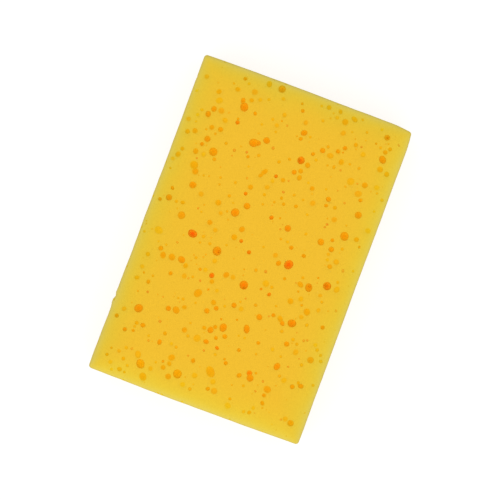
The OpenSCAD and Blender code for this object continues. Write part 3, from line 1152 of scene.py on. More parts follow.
@dataclass(frozen=True)
class BubbleCutter:
    """A tree of geometry nodes that cuts bubbles out of the block.

    Attributes:
        sides: The segments and rings of a bubble of each roundness.
        limits: The opening's radius from which the next roundness is used.
        shapes: How many uneven shapes of bubble there are of each roundness.
        shape_seed: The number from which each pore's random shape follows.
        wobble: How far a bubble of radius 1 is from round.
        wobble_scale: How many dents there are on it.
        seed: Where in the noise the first shape's dents are.
        seed_step: How much further on those of the next shape are.
        crease: The angle between two faces from which their edge is sharp.
        skin_depth: How far below the uncut surface a pore's lining begins.
        sliver: The length under which an edge is closed up after the cut.
    """

    sides: Sequence[tuple[int, int]] = ((7, 4), (11, 6), (16, 8))
    limits: tuple[float, float] = (0.78 * MM, 1.3 * MM)
    shapes: int = 4
    shape_seed: int = 77
    wobble: float = 0.16
    wobble_scale: float = 1.3
    seed: float = 3.0
    seed_step: float = 7.3
    crease: float = math.radians(38)
    skin_depth: float = 0.02 * MM
    sliver: float = 0.001 * MM

    def _roundness(self, pore: Pore) -> Roundness:
        """How finely a pore is drawn."""
        return Roundness(sum(pore.opening > limit for limit in self.limits))

    def bubbles(
        self,
        pores: Sequence[Pore],
        faces: Sequence[CutFace],
        linings: Sequence[tuple[float, float, float, float]],
    ) -> bpy.types.Object:
        """The bubbles' middles as points, with what the tree reads of each.

        Args:
            pores: The bubbles.
            faces: The block's faces, which the pores name by number.
            linings: The colour of each pore's lining, and how far it glows at its rim.

        Returns:
            An object of loose points.
        """
        draws = Draws(self.shape_seed)
        middles, scales, turns, shapes = [], [], [], []
        for pore in pores:
            if pore.middle is None:
                depth = -pore.share * pore.radius
                middle = faces[pore.face].place(pore.x, pore.y, depth)
                axes = Matrix(faces[pore.face].axes.T.tolist())
            else:
                middle = pore.middle
                axes = Matrix.Identity(3)
            root = math.sqrt(pore.stretch)
            spin = Matrix.Rotation(pore.turn, 3, "Z")
            middles.append(list(middle))
            scales += [pore.radius * root, pore.radius / root, pore.radius]
            turns += list((axes @ spin).to_euler())
            shapes.append(self._roundness(pore) * self.shapes + int(draws.share() * self.shapes))
        mesh = bpy.data.meshes.new("bubble_middles")
        mesh.from_pydata(middles, [], [])
        for name, kind, part, values in (
            ("bubble_scale", "FLOAT_VECTOR", "vector", scales),
            ("bubble_turn", "FLOAT_VECTOR", "vector", turns),
            ("bubble_shape", "INT", "value", shapes),
            ("pore", "INT", "value", list(range(len(pores)))),
            ("lining", "FLOAT_COLOR", "color", [value for lining in linings for value in lining]),
        ):
            mesh.attributes.new(name, kind, "POINT").data.foreach_set(part, values)
        made = bpy.data.objects.new("bubble_middles", mesh)
        bpy.context.scene.collection.objects.link(made)
        return made

    def _named(self, maker: NodeMaker, name: str, kind: str) -> Wire:
        """A named attribute of the geometry at hand."""
        node = maker.add("GeometryNodeInputNamedAttribute", {"data_type": kind}, Name=name)
        return maker.out(node, "Attribute")

    def _shape(self, maker: NodeMaker, ball: Wire, wobble: Wire, seed: Wire) -> Wire:
        """One uneven bubble of radius 1, as an instance.

        Args:
            maker: The maker of the tree's nodes.
            ball: The round bubble.
            wobble: How far from round it becomes.
            seed: Where in the noise its dents are.

        Returns:
            The instance.
        """
        place = maker.out(maker.add("GeometryNodeInputPosition"))
        dents = maker.add(
            "ShaderNodeTexNoise",
            {"noise_dimensions": "4D"},
            Vector=place,
            W=seed,
            Scale=self.wobble_scale,
            Detail=1.0,
        )
        push = (maker.out(dents, "Fac") - 0.5) * wobble
        offset = maker.vector("SCALE", place, Scale=push)
        bent = maker.add("GeometryNodeSetPosition", Geometry=ball, Offset=offset)
        return maker.out(maker.add("GeometryNodeGeometryToInstance", Geometry=maker.out(bent)))

    def _shapes(self, maker: NodeMaker, wobble: Wire, seed: Wire) -> Wire:
        """The uneven bubbles, as instances in the order of their numbers.

        Args:
            maker: The maker of the tree's nodes.
            wobble: How far from round they are.
            seed: Where in the noise the first one's dents are.

        Returns:
            The instances.
        """
        made: list[Wire] = []
        for segments, rings in self.sides:
            ball = maker.add("GeometryNodeMeshUVSphere", Segments=segments, Rings=rings)
            for _ in range(self.shapes):
                moved_on = seed + len(made) * self.seed_step
                made.append(self._shape(maker, maker.out(ball, "Mesh"), wobble, moved_on))
        joined = maker.add("GeometryNodeJoinGeometry")
        for wire in reversed(made):
            maker.feed(joined, "Geometry", wire)
        return maker.out(joined)

    def _inputs(self, maker: NodeMaker) -> dict[str, Wire]:
        """Gives the tree its named inputs.

        Args:
            maker: The maker of the tree's nodes.

        Returns:
            A wire from each, by its name.
        """
        for name, kind in (
            ("Block", "Geometry"),
            ("Bubbles", "Object"),
            ("Wobble", "Float"),
            ("Seed", "Float"),
            ("Skin depth", "Float"),
            ("Crease", "Float"),
            ("Skin", "Material"),
            ("Lining", "Material"),
        ):
            maker.tree.interface.new_socket(name, in_out="INPUT", socket_type="NodeSocket" + kind)
        given = maker.add("NodeGroupInput")
        return {s.name: maker.out(given, s.name) for s in given.outputs if s.name}

    def _placed(self, maker: NodeMaker, take: dict[str, Wire]) -> Wire:
        """The bubbles in their places, as instances.

        Args:
            maker: The maker of the tree's nodes.
            take: The tree's inputs.

        Returns:
            The instances.
        """
        points = maker.add("GeometryNodeObjectInfo", Object=take["Bubbles"])
        turn = self._named(maker, "bubble_turn", "FLOAT_VECTOR")
        placed = maker.add(
            "GeometryNodeInstanceOnPoints",
            Points=maker.out(points, "Geometry"),
            Instance=self._shapes(maker, take["Wobble"], take["Seed"]),
            Pick_Instance=True,
            Instance_Index=self._named(maker, "bubble_shape", "INT"),
            Rotation=maker.out(maker.add("FunctionNodeEulerToRotation", Euler=turn)),
            Scale=self._named(maker, "bubble_scale", "FLOAT_VECTOR"),
        )
        return maker.out(placed)

    def _store(
        self, maker: NodeMaker, geometry: Wire, name: str, kind: str, domain: str, value: Wire
    ) -> Wire:
        """Stores a named attribute.

        Args:
            maker: The maker of the tree's nodes.
            geometry: The geometry.
            name: The attribute's name.
            kind: The type of its values.
            domain: The elements that have one.
            value: Their values.

        Returns:
            The geometry with the attribute.
        """
        settings = {"data_type": kind, "domain": domain}
        node = maker.add(
            "GeometryNodeStoreNamedAttribute", settings, Geometry=geometry, Name=name, Value=value
        )
        return maker.out(node)

    def _marked(self, maker: NodeMaker, foam: Wire, bubbles: Wire, lining: Wire) -> Wire:
        """Lets each face of the foam know its pore, or NONE, and its lining's colour.

        Args:
            maker: The maker of the tree's nodes.
            foam: The cut foam.
            bubbles: The bubbles in their places.
            lining: 1 on the lining of a pore, and 0 on the skin.

        Returns:
            The marked foam.
        """
        walls = maker.out(maker.add("GeometryNodeRealizeInstances", Geometry=bubbles))
        for name, kind in (("pore", "INT"), ("lining", "FLOAT_COLOR")):
            nearest = maker.add(
                "GeometryNodeSampleNearestSurface",
                {"data_type": kind},
                Mesh=walls,
                Value=self._named(maker, name, kind),
            )
            value = maker.out(nearest, "Value")
            if name == "pore":
                value = (value - float(NONE)) * lining + float(NONE)
            foam = self._store(maker, foam, name, kind, "FACE", value)
        return foam

    def _shaded(self, maker: NodeMaker, foam: Wire, crease: Wire) -> Wire:
        """Shades the foam smooth, but for its creases.

        Args:
            maker: The maker of the tree's nodes.
            foam: The cut foam.
            crease: The angle from which an edge is sharp.

        Returns:
            The shaded foam.
        """
        bend = maker.out(maker.add("GeometryNodeInputMeshEdgeAngle"), "Unsigned Angle")
        sharp = maker.add(
            "GeometryNodeSetShadeSmooth",
            {"domain": "EDGE"},
            Geometry=foam,
            Selection=bend > crease,
            Shade_Smooth=False,
        )
        smooth = maker.add(
            "GeometryNodeSetShadeSmooth",
            {"domain": "FACE"},
            Geometry=maker.out(sharp),
            Shade_Smooth=True,
        )
        return maker.out(smooth)

    def tree(self) -> bpy.types.NodeTree:
        """Builds the tree of nodes, which takes the block and gives the sponge."""
        tree = bpy.data.node_groups.new("open_the_bubbles", "GeometryNodeTree")
        maker = NodeMaker(tree)
        take = self._inputs(maker)
        tree.interface.new_socket("Sponge", in_out="OUTPUT", socket_type="NodeSocketGeometry")
        bubbles = self._placed(maker, take)
        cut = maker.add(
            "GeometryNodeMeshBoolean",
            {"operation": "DIFFERENCE", "solver": "MANIFOLD"},
            Mesh_1=take["Block"],
            Mesh_2=bubbles,
        )
        near = maker.add(
            "GeometryNodeProximity", {"target_element": "FACES"}, Target=take["Block"]
        )
        depth = maker.out(near, "Distance")
        lining = depth > take["Skin depth"]
        foam = self._store(maker, maker.out(cut, "Mesh"), "depth", "FLOAT", "POINT", depth)
        foam = self._marked(maker, foam, bubbles, lining)
        foam = self._shaded(maker, foam, take["Crease"])
        plain = maker.add("GeometryNodeRealizeInstances", Geometry=foam)
        skin = maker.add(
            "GeometryNodeSetMaterial", Geometry=maker.out(plain), Material=take["Skin"]
        )
        lined = maker.add(
            "GeometryNodeSetMaterial",
            Geometry=maker.out(skin),
            Selection=lining,
            Material=take["Lining"],
        )
        maker.add("NodeGroupOutput", Sponge=maker.out(lined))
        return tree

    def cut(
        self,
        block: bpy.types.Mesh,
        bubbles: bpy.types.Object,
        skin: bpy.types.Material,
        lining: bpy.types.Material,
    ) -> bpy.types.Mesh:
        """Cuts the bubbles out of the block.

        Args:
            block: The uncut block.
            bubbles: The bubbles' middles.
            skin: The material of the cut faces.
            lining: The material of the pores.

        Returns:
            The sponge as a plain mesh.
        """
        holder = bpy.data.objects.new("uncut_block", block)
        bpy.context.scene.collection.objects.link(holder)
        modifier = holder.modifiers.new("open_the_bubbles", "NODES")
        modifier.node_group = self.tree()
        sockets = modifier.node_group.interface.items_tree
        named = {s.name: s.identifier for s in sockets if s.in_out == "INPUT"}
        for name, value in (
            ("Bubbles", bubbles),
            ("Wobble", self.wobble),
            ("Seed", self.seed),
            ("Skin depth", self.skin_depth),
            ("Crease", self.crease),
            ("Skin", skin),
            ("Lining", lining),
        ):
            modifier[named[name]] = value
        graph = bpy.context.evaluated_depsgraph_get()
        mesh = bpy.data.meshes.new_from_object(
            holder.evaluated_get(graph), preserve_all_data_layers=True, depsgraph=graph
        )
        for used in (holder, bubbles):
            bpy.data.objects.remove(used)
        self._clean(mesh)
        return mesh

    def _clean(self, mesh: bpy.types.Mesh) -> None:
        """Takes out the slivers that the cut leaves where walls all but meet.

        Args:
            mesh: The cut mesh, which is changed.
        """
        made = bmesh.new()
        made.from_mesh(mesh)
        bmesh.ops.dissolve_degenerate(made, dist=self.sliver, edges=made.edges[:])
        made.to_mesh(mesh)
        made.free()


# --- The finishes --------------------------------------------------------------------


@dataclass(frozen=True)
class Finish:
    """What the foam's two finishes have in common.

    Attributes:
        name: The material's name.
        roughness, specular: How rough it is and how much it shines, all over.
        bump, bump_depth: The strength and the height of its bumps.
    """

    name: str
    roughness: float
    bump: float
    bump_depth: float = 0.25 * MM
    specular: float = 0.15

    def start(self) -> tuple[NodeMaker, bpy.types.Node, Wire]:
        """Makes the new material.

        Returns:
            The maker of its nodes, its shader, and the point that it colours.
        """
        material = bpy.data.materials.new(self.name)
        material.use_nodes = True
        maker = NodeMaker(material.node_tree)
        shader = material.node_tree.nodes["Principled BSDF"]
        maker.feed(shader, "Roughness", self.roughness)
        maker.feed(shader, "Specular IOR Level", self.specular)
        return maker, shader, maker.out(maker.add("ShaderNodeTexCoord"), "Object")

    def noise(self, maker: NodeMaker, place: Wire, scale: float, detail: float) -> Wire:
        """A noise from 0 to 1 over the foam.

        Args:
            maker: The maker of the material's nodes.
            place: The point, as an Object coordinate.
            scale: How many of its waves there are in a metre.
            detail: How many finer layers it has.

        Returns:
            The noise.
        """
        return maker.out(
            maker.add("ShaderNodeTexNoise", Vector=place, Scale=scale, Detail=detail), "Fac"
        )

    def end(
        self, maker: NodeMaker, shader: bpy.types.Node, colour: Wire, height: Wire
    ) -> bpy.types.Material:
        """Gives the material its colour and its bumps.

        Args:
            maker: The maker of its nodes.
            shader: Its shader.
            colour: Its colour.
            height: The height of its bumps, about from 0 to 1.

        Returns:
            The finished material.
        """
        bump = maker.add(
            "ShaderNodeBump", Strength=self.bump, Distance=self.bump_depth, Height=height
        )
        maker.feed(shader, "Base Color", colour)
        maker.feed(shader, "Normal", maker.out(bump, "Normal"))
        return bpy.data.materials[self.name]


@dataclass(frozen=True)
class SkinFinish(Finish):
    """The cut skin of the foam: warm yellow, and painted paler lemon along its edges
    for light that comes in through the foam there, lighter at the -X end and
    darker at the +X end as painted light and shade.

    Attributes:
        yellow: The foam's colour away from the edges.
        left, right: The colours painted along the edges at the -X and +X ends: painted
            light at the -X end and painted shade at the +X end.
        front, back: The same along the -Y and +Y sides, lighter at -Y than at +Y.
        pale: What is added to the colour at the very edge, a painted paler rim of
            light that comes in through the foam there.
        broad: How far from an edge the painted edge light reaches.
        narrow: How far the paler rim reaches.
        turn: How near to a corner the colour of an end gives way to that of a side.
        side_fade: How much of the painted edge light the upright sides lack.
        patch_scale: How many patches of more and less painted edge light there are in
            a metre.
        patch_least, patch_more: How much nearer or further a patch seems to be from
            the edge than it is: the least of it, and how much it varies.
        mottle, mottle_scale: How much the colour varies from spot to spot, as a
            share, and how many spots there are in a metre.
        grain_scale, cell_scale: How many grains and cells there are in a metre.
        cell_height: The height of a cell's walls beside the grain's.
    """

    name: str = "foam_skin"
    roughness: float = 0.95
    bump: float = 0.5
    yellow: Colour = (0.888, 0.515, 0.028)
    # Painted light and shade along the edges: lighter at the -X end and the -Y side, darker at the +X
    # end and the +Y side; pale is a painted paler rim at the very edge.
    left: Colour = (0.814, 0.658, 0.038)
    right: Colour = (0.671, 0.56, 0.035)
    front: Colour = (0.74, 0.607, 0.036)
    back: Colour = (0.688, 0.567, 0.036)
    pale: Colour = (-0.035, 0.0, 0.11)
    broad: float = 6 * MM
    narrow: float = 1.4 * MM
    turn: float = 5 * MM
    side_fade: float = 0.4
    patch_scale: float = 90
    patch_least: float = 0.6
    patch_more: float = 0.8
    mottle: float = 0.12
    mottle_scale: float = 900
    grain_scale: float = 1100
    cell_scale: float = 2200
    cell_height: float = 0.6

    def painted_edge_light(self, maker: NodeMaker, place: Wire, size: Vector) -> tuple[Wire, Wire, Wire]:
        """How the skin's painted edge light grows towards the block's edges.

        Args:
            maker: The maker of the material's nodes.
            place: The point, as an Object coordinate.
            size: The block's size.

        Returns:
            The distance from the nearest edge, the colour of the painted edge light
            there, and how much of that painted light the point lacks.
        """
        x, y, z = maker.parts(place)
        a = size.x / 2 - abs(x)
        b = size.y / 2 - abs(y)
        c = size.z / 2 - abs(z - size.z / 2)
        distance = a.least(b).most(a.most(b).least(c)).most(0.0)
        # Painted light and shade: the ends and sides get lit and shaded copies of the lemon edge colour.
        ends = maker.blend(x > 0.0, self.left, self.right)
        sides = maker.blend(y > 0.0, self.front, self.back)
        colour = maker.blend(maker.ramp(a - b, -self.turn, self.turn), ends, sides)
        upright = maker.ramp(c, 0.0, self.turn) * self.side_fade
        return distance, maker.blend(upright, colour, self.yellow), upright

    def colour(self, maker: NodeMaker, place: Wire, size: Vector) -> Wire:
        """The colour of the skin at a point.

        Args:
            maker: The maker of the material's nodes.
            place: The point, as an Object coordinate.
            size: The block's size.

        Returns:
            The colour, as a wire.
        """
        distance, painted_edge_light, upright = self.painted_edge_light(maker, place, size)
        patches = self.noise(maker, place, self.patch_scale, 3.0)
        distance = distance * (self.patch_least + patches * self.patch_more)
        broad = maker.maths("EXPONENT", distance * (-1 / self.broad))
        narrow = maker.maths("EXPONENT", distance * (-1 / self.narrow)) * (1.0 - upright)
        # Painted light: lemon towards the edges and paler still at the very edge, for light that comes
        # in through the foam there.
        colour = maker.blend(broad, self.yellow, painted_edge_light)
        colour = maker.blend(narrow, colour, self.pale, "ADD")
        spots = self.noise(maker, place, self.mottle_scale, 4.0)
        speckle = 1.0 + (spots - 0.5) * self.mottle
        grey = maker.add("ShaderNodeCombineXYZ", X=speckle, Y=speckle, Z=speckle)
        return maker.vector("MULTIPLY", colour, maker.out(grey))

    def material(self, size: Vector) -> bpy.types.Material:
        """Builds the material.

        Args:
            size: The block's size.

        Returns:
            The material.
        """
        maker, shader, place = self.start()
        grain = self.noise(maker, place, self.grain_scale, 4.0)
        cells = maker.add("ShaderNodeTexVoronoi", Vector=place, Scale=self.cell_scale)
        height = maker.out(cells, "Distance") * self.cell_height + grain
        return self.end(maker, shader, self.colour(maker, place, size), height)


@dataclass(frozen=True)
class LiningFinish(Finish):
    """The lining of the pores, from deep yellow in a dish to orange in a pit.

    A pit looks darker than a dish chiefly because light reaches its walls only
    from wall to wall, and its lining is painted darker and more orange for this
    shade. The foam lets some light through, so a wall is painted a little lighter
    towards its rim, a painted glow.

    Attributes:
        shallow, dish, pit, deep: The linings of the four depths of pore, painted
        darker and more orange the deeper they are, as painted shade.
        rust: The lining of a brownish speck.
        glow: The colour of a wall that light comes through.
        glows: How much of it there is at the rims of the four depths.
        glow_start, glow_end: Where the glow begins and is full, as shares of the
            way from a pore's middle to its rim.
        variety: How far one lining's green may be from the usual, as a share.
        small_pales: How much greener a small pore's lining is, as a share, at the
            four depths.
        usual, least: The opening's radius from which a pore isn't small in this way,
            and the one up to which it is so in full.
        fade: How far below its rim a pore has its full colour.
        grain_scale: How many grains there are in a metre.
    """

    name: str = "pore_lining"
    roughness: float = 0.9
    bump: float = 0.4
    # Painted shade: deeper pores get darker, more orange linings, for light that reaches their walls
    # only from wall to wall.
    shallow: Colour = (0.9, 0.455, 0.005)
    dish: Colour = (0.88, 0.414, 0.001)
    pit: Colour = (0.9, 0.406, 0.0)
    deep: Colour = (0.965, 0.332, 0.0)
    rust: Colour = (0.88, 0.45, 0.02)
    # Painted light: the glow of light that comes through the foam's thin walls near a rim.
    glow: Colour = (1.0, 0.62, 0.01)
    glows: tuple[float, float, float, float] = (0.05, 0.3, 0.5, 0.6)
    glow_start: float = 0.2
    glow_end: float = 0.85
    variety: float = 0.07
    small_pales: tuple[float, float, float, float] = (0.06, 0.1, 0.06, 0.06)
    usual: float = 1.3 * MM
    least: float = 0.9 * MM
    fade: float = 0.35 * MM
    grain_scale: float = 900

    def own(self, pore: Pore) -> tuple[float, float, float, float]:
        """What one pore's lining looks like.

        Args:
            pore: The pore.

        Returns:
            Its colour, and how far it glows at its rim.
        """
        own = 1 - self.variety * pore.tone
        if pore.rust:
            return self.rust[0], self.rust[1] * own, self.rust[2], 0.0
        # Painted shade by depth, and the painted glow of light at the rim.
        depths = [depth.value for depth in reversed(Depth)]
        linings = (self.shallow, self.dish, self.pit, self.deep)
        red, green, blue = (float(np.interp(pore.share, depths, part)) for part in zip(*linings))
        glow = float(np.interp(pore.share, depths, self.glows))
        pale = float(np.interp(pore.share, depths, self.small_pales))
        paler = float(np.interp(pore.opening, (self.least, self.usual), (pale, 0.0)))
        return red, green * (own + paler), blue, glow

    def material(self, skin: SkinFinish, size: Vector) -> bpy.types.Material:
        """Builds the material, which fades into the skin's yellow at each rim.

        Args:
            skin: The finish of the skin.
            size: The block's size.

        Returns:
            The material.
        """
        maker, shader, place = self.start()
        own = maker.add("ShaderNodeAttribute", {"attribute_name": "lining"})
        reach = maker.out(maker.add("ShaderNodeAttribute", {"attribute_name": "reach"}), "Fac")
        depth = maker.out(maker.add("ShaderNodeAttribute", {"attribute_name": "depth"}), "Fac")
        around = skin.colour(maker, place, size)
        # Painted light: each wall is painted towards the glow colour near its rim.
        glow = maker.ramp(reach, self.glow_start, self.glow_end) * maker.out(own, "Alpha")
        lining = maker.blend(glow, maker.out(own, "Color"), self.glow)
        # The skin's painted edge light and shade carry into the linings near the edges.
        lining = maker.vector("MULTIPLY", lining, maker.vector("DIVIDE", around, skin.yellow))
        colour = maker.blend(maker.ramp(depth, 0.0, self.fade), around, lining)
        return self.end(maker, shader, colour, self.noise(maker, place, self.grain_scale, 3.0))


# --- The sponge ----------------------------------------------------------------------


def read(items: Any, name: str, width: int, kind: type) -> np.ndarray:
    """Reads one property of all the elements of a mesh.

    Args:
        items: The elements.
        name: The property's name.
        width: How many numbers it has.
        kind: The type of the numbers.

    Returns:
        A row for each element, or a number where the width is 1.
    """
    values = np.empty(len(items) * width, kind)
    items.foreach_get(name, values)
    return values.reshape(-1, width) if width > 1 else values


@dataclass(frozen=True)
class Corners:
    """Where the corners of the sponge's mesh lie, one row of numbers for each.

    Attributes:
        face: The number of its cut face.
        local: Its place on that face: across, along and outward.
        lined: Whether it is in the lining of a pore of that face.
        centre: The middle of that pore's opening.
        away: The way to the corner from there, where the opening is made round.
        stretched: The matrix that takes such a way back to the pore as it is.
        opening, share, radius: The pore's own.
    """

    face: np.ndarray
    local: np.ndarray
    lined: np.ndarray
    centre: np.ndarray
    away: np.ndarray
    stretched: np.ndarray
    opening: np.ndarray
    share: np.ndarray
    radius: np.ndarray

    @classmethod
    def of(
        cls, mesh: bpy.types.Mesh, faces: Sequence[CutFace], pores: Sequence[Pore]
    ) -> Corners:
        """Finds them on the sponge's mesh.

        Args:
            mesh: The cut mesh, whose faces know their pores.
            faces: The block's faces.
            pores: The pores.

        Returns:
            The corners.
        """
        vertex = read(mesh.loops, "vertex_index", 1, np.int32)
        points = read(mesh.vertices, "co", 3, np.float32)[vertex].astype(float)
        count = read(mesh.polygons, "loop_total", 1, np.int32)
        normals = np.repeat(read(mesh.polygons, "normal", 3, np.float32), count, axis=0)
        pore = np.repeat(read(mesh.attributes["pore"].data, "value", 1, np.int32), count)

        axes = np.array([face.axes for face in faces])
        middles = np.array([face.middle for face in faces], float)
        number = np.argmax(normals @ axes[:, 2].T, axis=1)
        owner = np.array([i if p.inside == NONE else p.inside for i, p in enumerate(pores)])
        on_face = np.array([p.face for p in pores])
        lined = (pore != NONE) & (on_face[pore] != NONE)
        held = owner[pore]
        number[lined] = on_face[held][lined]
        local = np.einsum("ni,nji->nj", points - middles[number], axes[number])
        centre = np.array([[p.x, p.y] for p in pores])[held]
        squeeze = np.array([p.squeeze for p in pores])
        sizes = np.array([[p.opening, p.share, p.radius] for p in pores])[held]
        return cls(
            face=number,
            local=local,
            lined=lined,
            centre=centre,
            away=np.einsum("nij,nj->ni", squeeze[held], local[:, :2] - centre),
            stretched=np.linalg.inv(squeeze)[held],
            opening=sizes[:, 0],
            share=sizes[:, 1],
            radius=sizes[:, 2],
        )

    def reach(self) -> np.ndarray:
        """How far each is from its pore's middle, where 1 is the rim."""
        return np.where(self.lined, np.linalg.norm(self.away, axis=1) / self.opening, 1.0)


@dataclass(frozen=True)
class SurfaceMap:
    """Lays the sponge's surface flat, in metres of map for metres of surface.

    Each cut face keeps its own shape, and the lining of each pore is spread over
    the pore's own opening, so that nothing overlaps.

    Attributes:
        name: The map's name.
        gap: The space between two faces on the map.
        rim_depth: How far from its face a lining begins.
        least: The least distance from a pore's middle that is told from none.
    """

    name: str = "OFBake"
    gap: float = 3 * MM
    rim_depth: float = 0.02 * MM
    least: float = 1e-9

    def places(self, faces: Sequence[CutFace]) -> tuple[list[tuple[float, float, bool]], float]:
        """Where each face's rectangle lies on the map.

        Args:
            faces: The top, the underside, and the four upright sides.

        Returns:
            Each rectangle's lowest corner and whether it is turned, and the side
            of the square that holds them all.
        """
        top, _, front, back, right, left = faces
        second = top.height + self.gap
        third = 2 * second
        column = top.width + self.gap
        last = column + back.height + self.gap
        found = [
            (0.0, 0.0, False),
            (0.0, second, False),
            (0.0, third, False),
            (column, 0.0, True),
            (last, 0.0, True),
            (last, right.width + self.gap, True),
        ]
        return found, max(third + front.height, last + left.height)

    def _flat(self, corners: Corners) -> np.ndarray:
        """Each corner's place on its own face, with the linings unrolled.

        Args:
            corners: The corners of the mesh.

        Returns:
            A row for each: across and along.
        """
        flat = corners.local[:, :2].copy()
        level = np.maximum(np.linalg.norm(corners.away, axis=1), self.least)
        above = corners.local[:, 2] + corners.share * corners.radius
        angle = np.arctan2(level, above)
        unrolled = (math.pi - angle) / (math.pi - np.arccos(corners.share))
        reach = corners.opening * np.minimum(unrolled, 1) / level
        spread = np.einsum("nij,nj->ni", corners.stretched, corners.away * reach[:, None])
        inner = corners.lined & (np.abs(corners.local[:, 2]) > self.rim_depth)
        flat[inner] = (corners.centre + spread)[inner]
        return flat

    def lay(self, mesh: bpy.types.Mesh, faces: Sequence[CutFace], corners: Corners) -> None:
        """Adds the map to the sponge's mesh.

        Args:
            mesh: The mesh.
            faces: The block's faces.
            corners: The mesh's corners.
        """
        rectangles, side = self.places(faces)
        sizes = np.array([[face.width, face.height] for face in faces])
        flat = self._flat(corners) + sizes[corners.face] / 2
        lowest = np.array([[x, y] for x, y, _ in rectangles])[corners.face]
        turned = np.array([t for *_, t in rectangles])[corners.face]
        flat[turned] = flat[turned][:, ::-1]
        margin = self.gap / 2
        layer = mesh.uv_layers.new(name=self.name, do_init=False)
        laid = (flat + lowest + margin) / (side + 2 * margin)
        layer.uv.foreach_set("vector", laid.astype(np.float32).ravel())


@dataclass
class CleaningSponge:
    """The whole sponge, one piece of foam.

    Attributes:
        low, high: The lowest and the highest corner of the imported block.
        layout: Where its bubbles lie.
        cutter: What opens them.
        skin, lining: The finishes of its cut skin and of its pores.
        surface: How its surface is laid flat.
    """

    low: Vector
    high: Vector
    layout: PoreLayout = field(default_factory=PoreLayout)
    cutter: BubbleCutter = field(default_factory=BubbleCutter)
    skin: SkinFinish = field(default_factory=SkinFinish)
    lining: LiningFinish = field(default_factory=LiningFinish)
    surface: SurfaceMap = field(default_factory=SurfaceMap)

    def _mesh(self) -> bpy.types.Mesh:
        """The sponge's mesh, cut, dressed and laid flat on its map."""
        size = self.high - self.low
        faces = cut_faces(size.x, size.y, size.z)
        pores = self.layout.pores(faces)
        log.info("pores: %d in all", len(pores))
        skin = self.skin.material(size)
        lining = self.lining.material(self.skin, size)
        block = FoamBlock(size.x, size.y, size.z).mesh()
        log.info("uncut block: %d faces", len(block.polygons))
        linings = [self.lining.own(pore) for pore in pores]
        bubbles = self.cutter.bubbles(pores, faces, linings)
        mesh = self.cutter.cut(block, bubbles, skin, lining)
        corners = Corners.of(mesh, faces, pores)
        reach = mesh.attributes.new("reach", "FLOAT", "CORNER")
        reach.data.foreach_set("value", corners.reach().astype(np.float32))
        self.surface.lay(mesh, faces, corners)
        return mesh

    def build(self) -> bpy.types.Object:
        """Makes the sponge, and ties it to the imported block."""
        mesh = self._mesh()
        mesh.name = PIECE
        piece = bpy.data.objects.new(PIECE, mesh)
        bpy.context.scene.collection.objects.link(piece)
        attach(piece, BODY)
        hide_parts(CAD_NODE)
        return piece


# --- The studio ----------------------------------------------------------------------


def grey(level: float) -> tuple[float, float, float, float]:
    """A grey of this level, from 0 to 1."""
    return level, level, level, 1.0


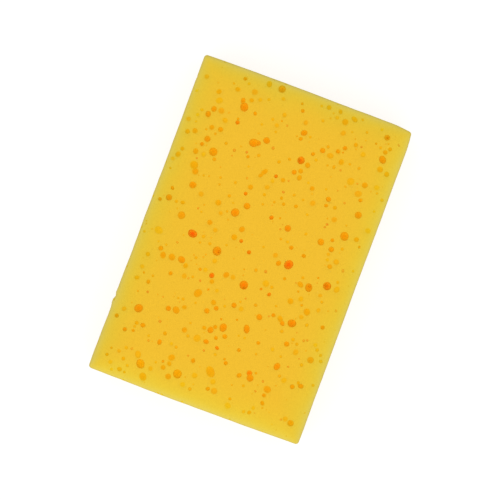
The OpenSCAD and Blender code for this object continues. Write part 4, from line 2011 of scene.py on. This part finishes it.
@dataclass(frozen=True)
class Studio:
    """A pale floor, a soft lamp and a camera straight above the sponge.

    Attributes:
        view_width: The width of what the camera sees at the sponge's top.
        turn: How far the sponge's length leans to the right from upright.
        aim: How far to the right of the sponge's middle the camera looks, and how
            far below it.
        distance: How far above the top it is.
        sensor: The width of its sensor, in millimetres.
        clip: The nearest and the furthest that it sees.
        floor_size: The width of the floor.
        floor_matte: The floor's own grey, which lights the sponge from below.
        floor_shown, floor_glow: What of it the camera sees instead: a grey that
            takes the shadow, and a light of its own.
        sky: How bright the sky is on the sponge.
        lamp_size, lamp_energy, lamp_place: The lamp's width, power and place.
    """

    view_width: float = 223.1 * MM
    turn: float = math.radians(20.4)
    aim: tuple[float, float] = (-0.54 * MM, 0.22 * MM)
    distance: float = 1.2
    sensor: float = 36.0
    clip: tuple[float, float] = (0.05, 20)
    floor_size: float = 6.0
    floor_matte: float = 0.8
    floor_shown: float = 0.35
    floor_glow: float = 0.74
    sky: float = 0.713
    lamp_size: float = 1.2
    lamp_energy: float = 7.7
    lamp_place: Point = (-0.25, 0.0, 1.5)

    def build(self, top: float) -> None:
        """Makes the floor, the sky, the lamp and the camera.

        Args:
            top: The height of the sponge's top face.
        """
        self._floor()
        self._sky()
        self._lamp()
        self._camera(top)
        bpy.context.scene.view_settings.view_transform = "Standard"

    def _shown(self, maker: NodeMaker) -> Wire:
        """Tells the rays that show the backdrop from those that it lights.

        Args:
            maker: The maker of the tree's nodes.

        Returns:
            1 for the rays that show it, and 0 for the others.
        """
        path = maker.add("ShaderNodeLightPath")
        kinds = ("Is Camera Ray", "Is Glossy Ray", "Is Transmission Ray")
        camera, glossy, through = (maker.out(path, kind) for kind in kinds)
        return camera.most(glossy).most(through)

    def _floor(self) -> None:
        """The floor, which the camera sees white but for the sponge's shadow."""
        half = self.floor_size / 2
        mesh = bpy.data.meshes.new("floor")
        corners = [(-half, -half, 0), (half, -half, 0), (half, half, 0), (-half, half, 0)]
        mesh.from_pydata(corners, [], [(0, 1, 2, 3)])
        floor = bpy.data.objects.new("floor", mesh)
        bpy.context.scene.collection.objects.link(floor)
        material = bpy.data.materials.new("floor")
        material.use_nodes = True
        tree = material.node_tree
        tree.nodes.remove(tree.nodes["Principled BSDF"])
        maker = NodeMaker(tree)
        matte = maker.out(maker.add("ShaderNodeBsdfDiffuse", Color=grey(self.floor_matte)))
        shaded = maker.out(maker.add("ShaderNodeBsdfDiffuse", Color=grey(self.floor_shown)))
        glow = maker.out(maker.add("ShaderNodeEmission", Color=grey(self.floor_glow)))
        both = maker.out(maker.add("ShaderNodeAddShader", None, shaded, glow))
        mix = maker.add("ShaderNodeMixShader", None, self._shown(maker), matte, both)
        maker.feed(tree.nodes["Material Output"], "Surface", maker.out(mix))
        mesh.materials.append(material)

    def _sky(self) -> None:
        """An even sky, which the camera sees white."""
        world = bpy.data.worlds.new("studio")
        bpy.context.scene.world = world
        world.use_nodes = True
        maker = NodeMaker(world.node_tree)
        strength = self._shown(maker) * (1.0 - self.sky) + self.sky
        background = world.node_tree.nodes["Background"]
        maker.feed(background, "Color", grey(1.0))
        maker.feed(background, "Strength", strength)

    def _lamp(self) -> None:
        """A wide soft lamp above, a little towards the sponge's -X end."""
        lamp = bpy.data.lights.new("key", "AREA")
        lamp.shape = "DISK"
        lamp.size = self.lamp_size
        lamp.energy = self.lamp_energy
        key = bpy.data.objects.new("key", lamp)
        key.location = self.lamp_place
        key.rotation_mode = "QUATERNION"
        key.rotation_quaternion = (-Vector(key.location)).to_track_quat("-Z", "Y")
        bpy.context.scene.collection.objects.link(key)

    def _camera(self, top: float) -> None:
        """A long lens, straight above, with the sponge's length leaning to the right.

        Args:
            top: The height of the sponge's top face.
        """
        data = bpy.data.cameras.new("camera")
        data.sensor_width = self.sensor
        data.lens = self.sensor * self.distance / self.view_width
        data.clip_start, data.clip_end = self.clip
        camera = bpy.data.objects.new("camera", data)
        up = Vector((math.cos(self.turn), math.sin(self.turn), 0))
        right = Vector((math.sin(self.turn), -math.cos(self.turn), 0))
        axes = Matrix((right, up, right.cross(up))).transposed().to_4x4()
        shift = right * self.aim[0] - up * self.aim[1]
        axes.translation = Vector((0, 0, top + self.distance)) + shift
        camera.matrix_world = axes
        bpy.context.scene.collection.objects.link(camera)
        bpy.context.scene.camera = camera


def main() -> None:
    """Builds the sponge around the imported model, and the studio around it."""
    logging.basicConfig(level=logging.INFO, format="%(name)s: %(message)s")
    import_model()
    low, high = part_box(CAD_NODE)
    sponge = CleaningSponge(low, high).build()
    triangles = sum(len(face.vertices) - 2 for face in sponge.data.polygons)
    log.info("%s: %d triangles", sponge.name, triangles)
    Studio().build(high.z)
    log.info("studio: floor, sky, lamp and camera")
    bpy.context.view_layer.update()


if __name__ == "__main__":
    main()
